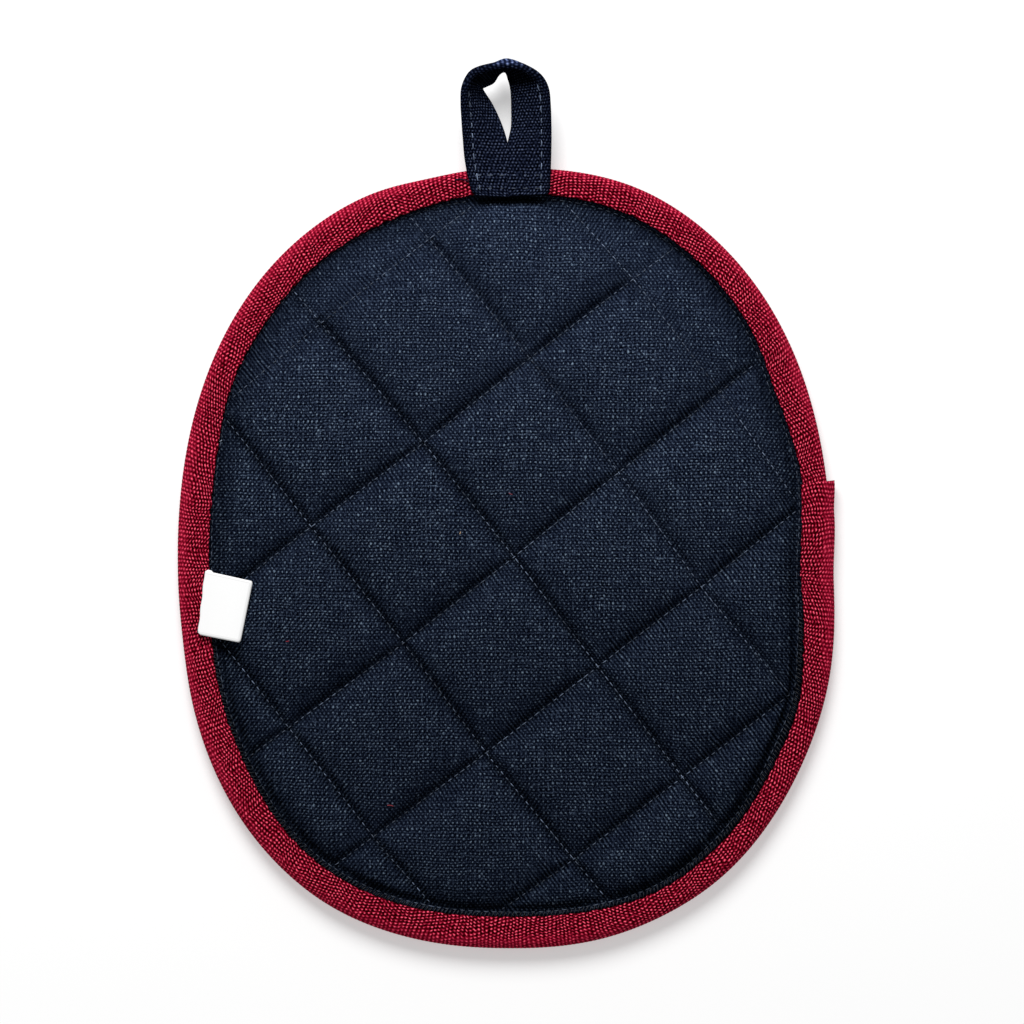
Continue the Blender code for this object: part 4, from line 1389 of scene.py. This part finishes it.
def surface_line(x, y, height, side):
    """Points on a face of the pad at plan places, with the way up from it."""
    z = height(x, y)
    return np.column_stack((x, y, z)).tolist(), [(0.0, 0.0, side)] * len(x)


def quilting_lines(rows, falling, height, side):
    """One line along each quilting seam of a family, from rim seam to rim seam, a little below its middle."""
    lines = []
    along = np.arange(-SEAM_REACH, SEAM_REACH, 1.0)
    beside_loop, below_loop = LOOP_COVERS
    for row in rows:
        across = seam_place(row, along) - GROOVE_BELOW
        x, y = from_quilt(across, along) if falling else from_quilt(along, across)
        open_to_view = (np.abs(x) > beside_loop) | (y < below_loop)
        kept = (inside_rim_seam(x, y) > SEAM_STOPS) & open_to_view
        if kept.sum() > 3:
            lines.append(surface_line(x[kept], y[kept], height, side))
    return lines


def rim_line(turns, share, height, side):
    """A line between two angles, at a share of the way from the tape's edge to the seam inside it."""
    angles = np.linspace(*turns, RING_POINTS)
    x, y = on_ring(angles, at_share(share)(angles))
    return surface_line(x, y, height, side)


def make_pad_sewing():
    """Falling seams, rising seams and rim seam on both faces of the pad, and the overlocking of its edge."""
    thread = spun_thread()
    falling = []
    rising = []
    rim = []
    for height, side in ((pad_top, 1.0), (pad_bottom, -1.0)):
        falling += quilting_lines(FALLING_SEAMS, True, height, side)
        rising += quilting_lines(RISING_SEAMS, False, height, side)
        rim.append(rim_line(RIM_SEWN, 1.0, height, side))
    overlocking = [rim_line(OVERLOCK, RIDGE_IN, pad_top, 1.0)]
    pitch, length = OVERLOCK_STITCH
    # One thread, drawn paler on the falling seams where the light catches it and duller on the rising seams,
    # the rim seam and the overlocking down in shade: painted light and shade.
    return (sew("falling_stitches", falling, thread, {"Palest": 1.7, "Seed": 7}),
            sew("rising_stitches", rising, thread, {"Palest": 1.35, "Seed": 11}),
            sew("rim_stitches", rim, thread, {"Palest": 0.95, "Seed": 17}),
            sew("overlock_stitches", overlocking, thread,
                {"Palest": 0.14, "Pitch": pitch * MM, "Length": length * MM, "Seed": 23, "Slant": 1.1}))


def make_loop_sewing():
    """Stitches round the loop inside its outer edge, and its two rows across over the binding."""
    seam_sunk, rows_sunk = LOOP_SUNK
    lines = []
    for leg, top in LOOP_SEAM_TOPS:
        points = []
        ups = []
        for row, across, face, _, raised in loop_frames():
            point = loop_point(row, across, face, LOOP_SEAM_IN, LOOP_HALF - seam_sunk + raised)
            if point[0] * leg > 0 and LOOP_ROWS[1][0] < point[1] < top:
                points.append(point.tolist())
                ups.append(tuple(face))
        lines.append((points, ups))
    rows = []
    z = LOOP_STATIONS[0][2] + LOOP_HALF + LOOP_TURN_UNDER[0] - rows_sunk
    for y, left, right in LOOP_ROWS:
        x = np.arange(left, right, 1.0)
        rows.append(([(place, y, z) for place in x], [(0.0, 0.0, 1.0)] * len(x)))
    thread = spun_thread()
    pitch, length = LOOP_STITCH
    stitch = {"Pitch": pitch * MM, "Length": length * MM}
    return (sew("loop_stitches", lines, thread, {**stitch, "Palest": 2.5, "Faintest": 0.8, "Seed": 31}),
            sew("loop_end_stitches", rows, thread, {**stitch, "Palest": 1.5, "Seed": 37}))


# --- loose thread and lint ---

def tube(points, radius, sides=8):
    """Cross-sections of a thin round fibre along points."""
    points = np.asarray(points, float)
    turns = np.arange(sides) * (2 * math.pi / sides)
    sections = []
    for point, tangent in zip(points, np.gradient(points, axis=0)):
        side = unit(np.cross(tangent, (0.0, 0.0, 1.0)))
        top = unit(np.cross(side, tangent))
        sections.append(point + radius * (np.outer(np.cos(turns), side) + np.outer(np.sin(turns), top)))
    return sections


def fibre(name, colour):
    """Staple fibre: matt, one colour all over."""
    material, _, shader = new_material(name, roughness=0.8, gloss=0.1)
    shader.inputs["Base Color"].default_value = rgba(linear(colour))
    return material


def make_lint():
    """Specks of lint: short curled fibres lying on the canvas."""
    pieces = []
    lift, bow = LINT_LIFT
    run = np.linspace(-0.5, 0.5, 7)
    for name, x, y, heading, length, colour in LINT:
        curl = LINT_CURL * length * run * run
        turn = math.radians(heading)
        px = x + length * run * math.cos(turn) - curl * math.sin(turn)
        py = y + length * run * math.sin(turn) + curl * math.cos(turn)
        pz = pad_top(px, py) + lift + bow * (0.25 - run * run)
        points, faces = skin(tube(np.column_stack((px, py, pz)), LINT_RADIUS, 6))
        pieces.append(make_piece(name, points, faces, fibre("staple fibre, " + name, colour)))
    return pieces


def make_loose_thread():
    """End of thread that runs out from the loop's seam over the binding."""
    rows = [(x, y, MID_Z + TAPE_OUTSIDE + CLEARANCE + up) for x, y, up in LOOSE_THREAD]
    run = np.linspace(0.0, len(rows) - 1, 5 * len(rows))
    points, faces = skin(tube([between(rows, place) for place in run], LOOSE_THREAD_RADIUS))
    return make_piece("loose_thread", points, faces, fibre("core-spun thread, navy", "10182a"))


# --- stage ---

def make_floor():
    settings = bpy.context.scene.pot_holder_stage
    half = settings.floor_size / 2
    corners = ((-half, -half), (half, -half), (half, half), (-half, half))
    data = bpy.data.meshes.new("floor")
    data.from_pydata([(x, y, -FLOOR_UNDER * MM) for x, y in corners], [], [(0, 1, 2, 3)])
    material, _, shader = new_material("back-lit white acrylic", roughness=1.0, gloss=0.0)
    shader.inputs["Base Color"].default_value = rgba(settings.floor_colour)
    shader.inputs["Emission Color"].default_value = (1.0, 1.0, 1.0, 1.0)
    shader.inputs["Emission Strength"].default_value = settings.floor_glow
    data.materials.append(material)
    return put_in_scene("floor", data)


def make_light():
    """A round soft lamp above the top, near enough to fade towards the bottom, and white surroundings."""
    settings = bpy.context.scene.pot_holder_stage
    towards = Vector((
        math.cos(settings.key_rise) * math.cos(settings.key_turn),
        math.cos(settings.key_rise) * math.sin(settings.key_turn),
        math.sin(settings.key_rise),
    ))
    lamp = bpy.data.lights.new("key", "AREA")
    lamp.shape = "DISK"
    lamp.size = 2 * settings.key_distance * math.tan(settings.key_spread / 2)
    lamp.energy = settings.key_strength * math.pi * settings.key_distance ** 2
    key = put_in_scene("key", lamp)
    key.rotation_euler = towards.to_track_quat("Z", "Y").to_euler()
    key.location = towards * settings.key_distance
    world = bpy.data.worlds.new("white surroundings")
    world.use_nodes = True
    background = world.node_tree.nodes["Background"]
    background.inputs["Color"].default_value = (1.0, 1.0, 1.0, 1.0)
    background.inputs["Strength"].default_value = settings.sky_strength
    bpy.context.scene.world = world


def make_camera():
    """Straight above, with a long lens."""
    data = bpy.data.cameras.new("camera")
    data.lens = data.sensor_width * (CAMERA_HEIGHT - MID_Z) / VIEW_WIDTH
    data.clip_end = 10.0
    camera = put_in_scene("camera", data)
    camera.location = (VIEW_MIDDLE[0] * MM, VIEW_MIDDLE[1] * MM, CAMERA_HEIGHT * MM)
    bpy.context.scene.camera = camera


# --- operators ---

class POTHOLDER_OT_pad(bpy.types.Operator):
    """Make the quilted pad"""

    bl_idname = "pot_holder.pad"
    bl_label = "Quilted pad"

    def execute(self, context):
        pad = make_pad()
        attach(pad, "root")
        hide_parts("quilted_pad")
        return {"FINISHED"}


class POTHOLDER_OT_binding(bpy.types.Operator):
    """Make the binding tape"""

    bl_idname = "pot_holder.binding"
    bl_label = "Binding"

    def execute(self, context):
        tape = make_binding()
        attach(tape, "root")
        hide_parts("binding")
        return {"FINISHED"}


class POTHOLDER_OT_loop(bpy.types.Operator):
    """Make the hanging loop"""

    bl_idname = "pot_holder.loop"
    bl_label = "Hanging loop"

    def execute(self, context):
        loop = make_loop()
        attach(loop, "root")
        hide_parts("hanging_loop")
        return {"FINISHED"}


class POTHOLDER_OT_label(bpy.types.Operator):
    """Make the blank label"""

    bl_idname = "pot_holder.label"
    bl_label = "Blank label"

    def execute(self, context):
        label = make_label()
        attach(label, "root")
        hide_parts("label")
        return {"FINISHED"}


class POTHOLDER_OT_sewing(bpy.types.Operator):
    """Sew the quilting, the rim seam and the loop"""

    bl_idname = "pot_holder.sewing"
    bl_label = "Sewing"

    def execute(self, context):
        for piece in make_pad_sewing():
            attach(piece, "root")
        for piece in make_loop_sewing():
            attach(piece, "root")
        return {"FINISHED"}


class POTHOLDER_OT_loose(bpy.types.Operator):
    """Lay the loose thread and the specks of lint"""

    bl_idname = "pot_holder.loose"
    bl_label = "Loose thread and lint"

    def execute(self, context):
        for piece in (make_loose_thread(), *make_lint()):
            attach(piece, "root")
        return {"FINISHED"}


class POTHOLDER_OT_stage(bpy.types.Operator):
    """Set the floor, the light and the camera"""

    bl_idname = "pot_holder.stage"
    bl_label = "Stage"

    def execute(self, context):
        make_floor()
        make_light()
        make_camera()
        context.scene.view_settings.view_transform = "Standard"
        return {"FINISHED"}


class POTHOLDER_PT_panel(bpy.types.Panel):
    """Settings and operators of the pot holder"""

    bl_label = "Pot Holder"
    bl_idname = "POTHOLDER_PT_panel"
    bl_space_type = "VIEW_3D"
    bl_region_type = "UI"
    bl_category = "Pot Holder"

    def draw(self, context):
        for name, group in SETTINGS.items():
            settings = getattr(context.scene, name)
            for field in group.__annotations__:
                self.layout.prop(settings, field)
        for operator in OPERATORS:
            self.layout.operator(operator.bl_idname)


OPERATORS = (
    POTHOLDER_OT_pad,
    POTHOLDER_OT_binding,
    POTHOLDER_OT_loop,
    POTHOLDER_OT_label,
    POTHOLDER_OT_sewing,
    POTHOLDER_OT_loose,
    POTHOLDER_OT_stage,
)
CLASSES = (*SETTINGS.values(), *OPERATORS, POTHOLDER_PT_panel)


def register():
    for each in CLASSES:
        bpy.utils.register_class(each)
    for name, group in SETTINGS.items():
        setattr(bpy.types.Scene, name, bpy.props.PointerProperty(type=group))


def unregister():
    for name in SETTINGS:
        delattr(bpy.types.Scene, name)
    for each in reversed(CLASSES):
        bpy.utils.unregister_class(each)


def main():
    register()
    for operator in (bpy.ops.pot_holder.pad, bpy.ops.pot_holder.binding, bpy.ops.pot_holder.loop,
                     bpy.ops.pot_holder.label, bpy.ops.pot_holder.sewing, bpy.ops.pot_holder.loose,
                     bpy.ops.pot_holder.stage):
        operator()


if __name__ == "__main__":
    main()
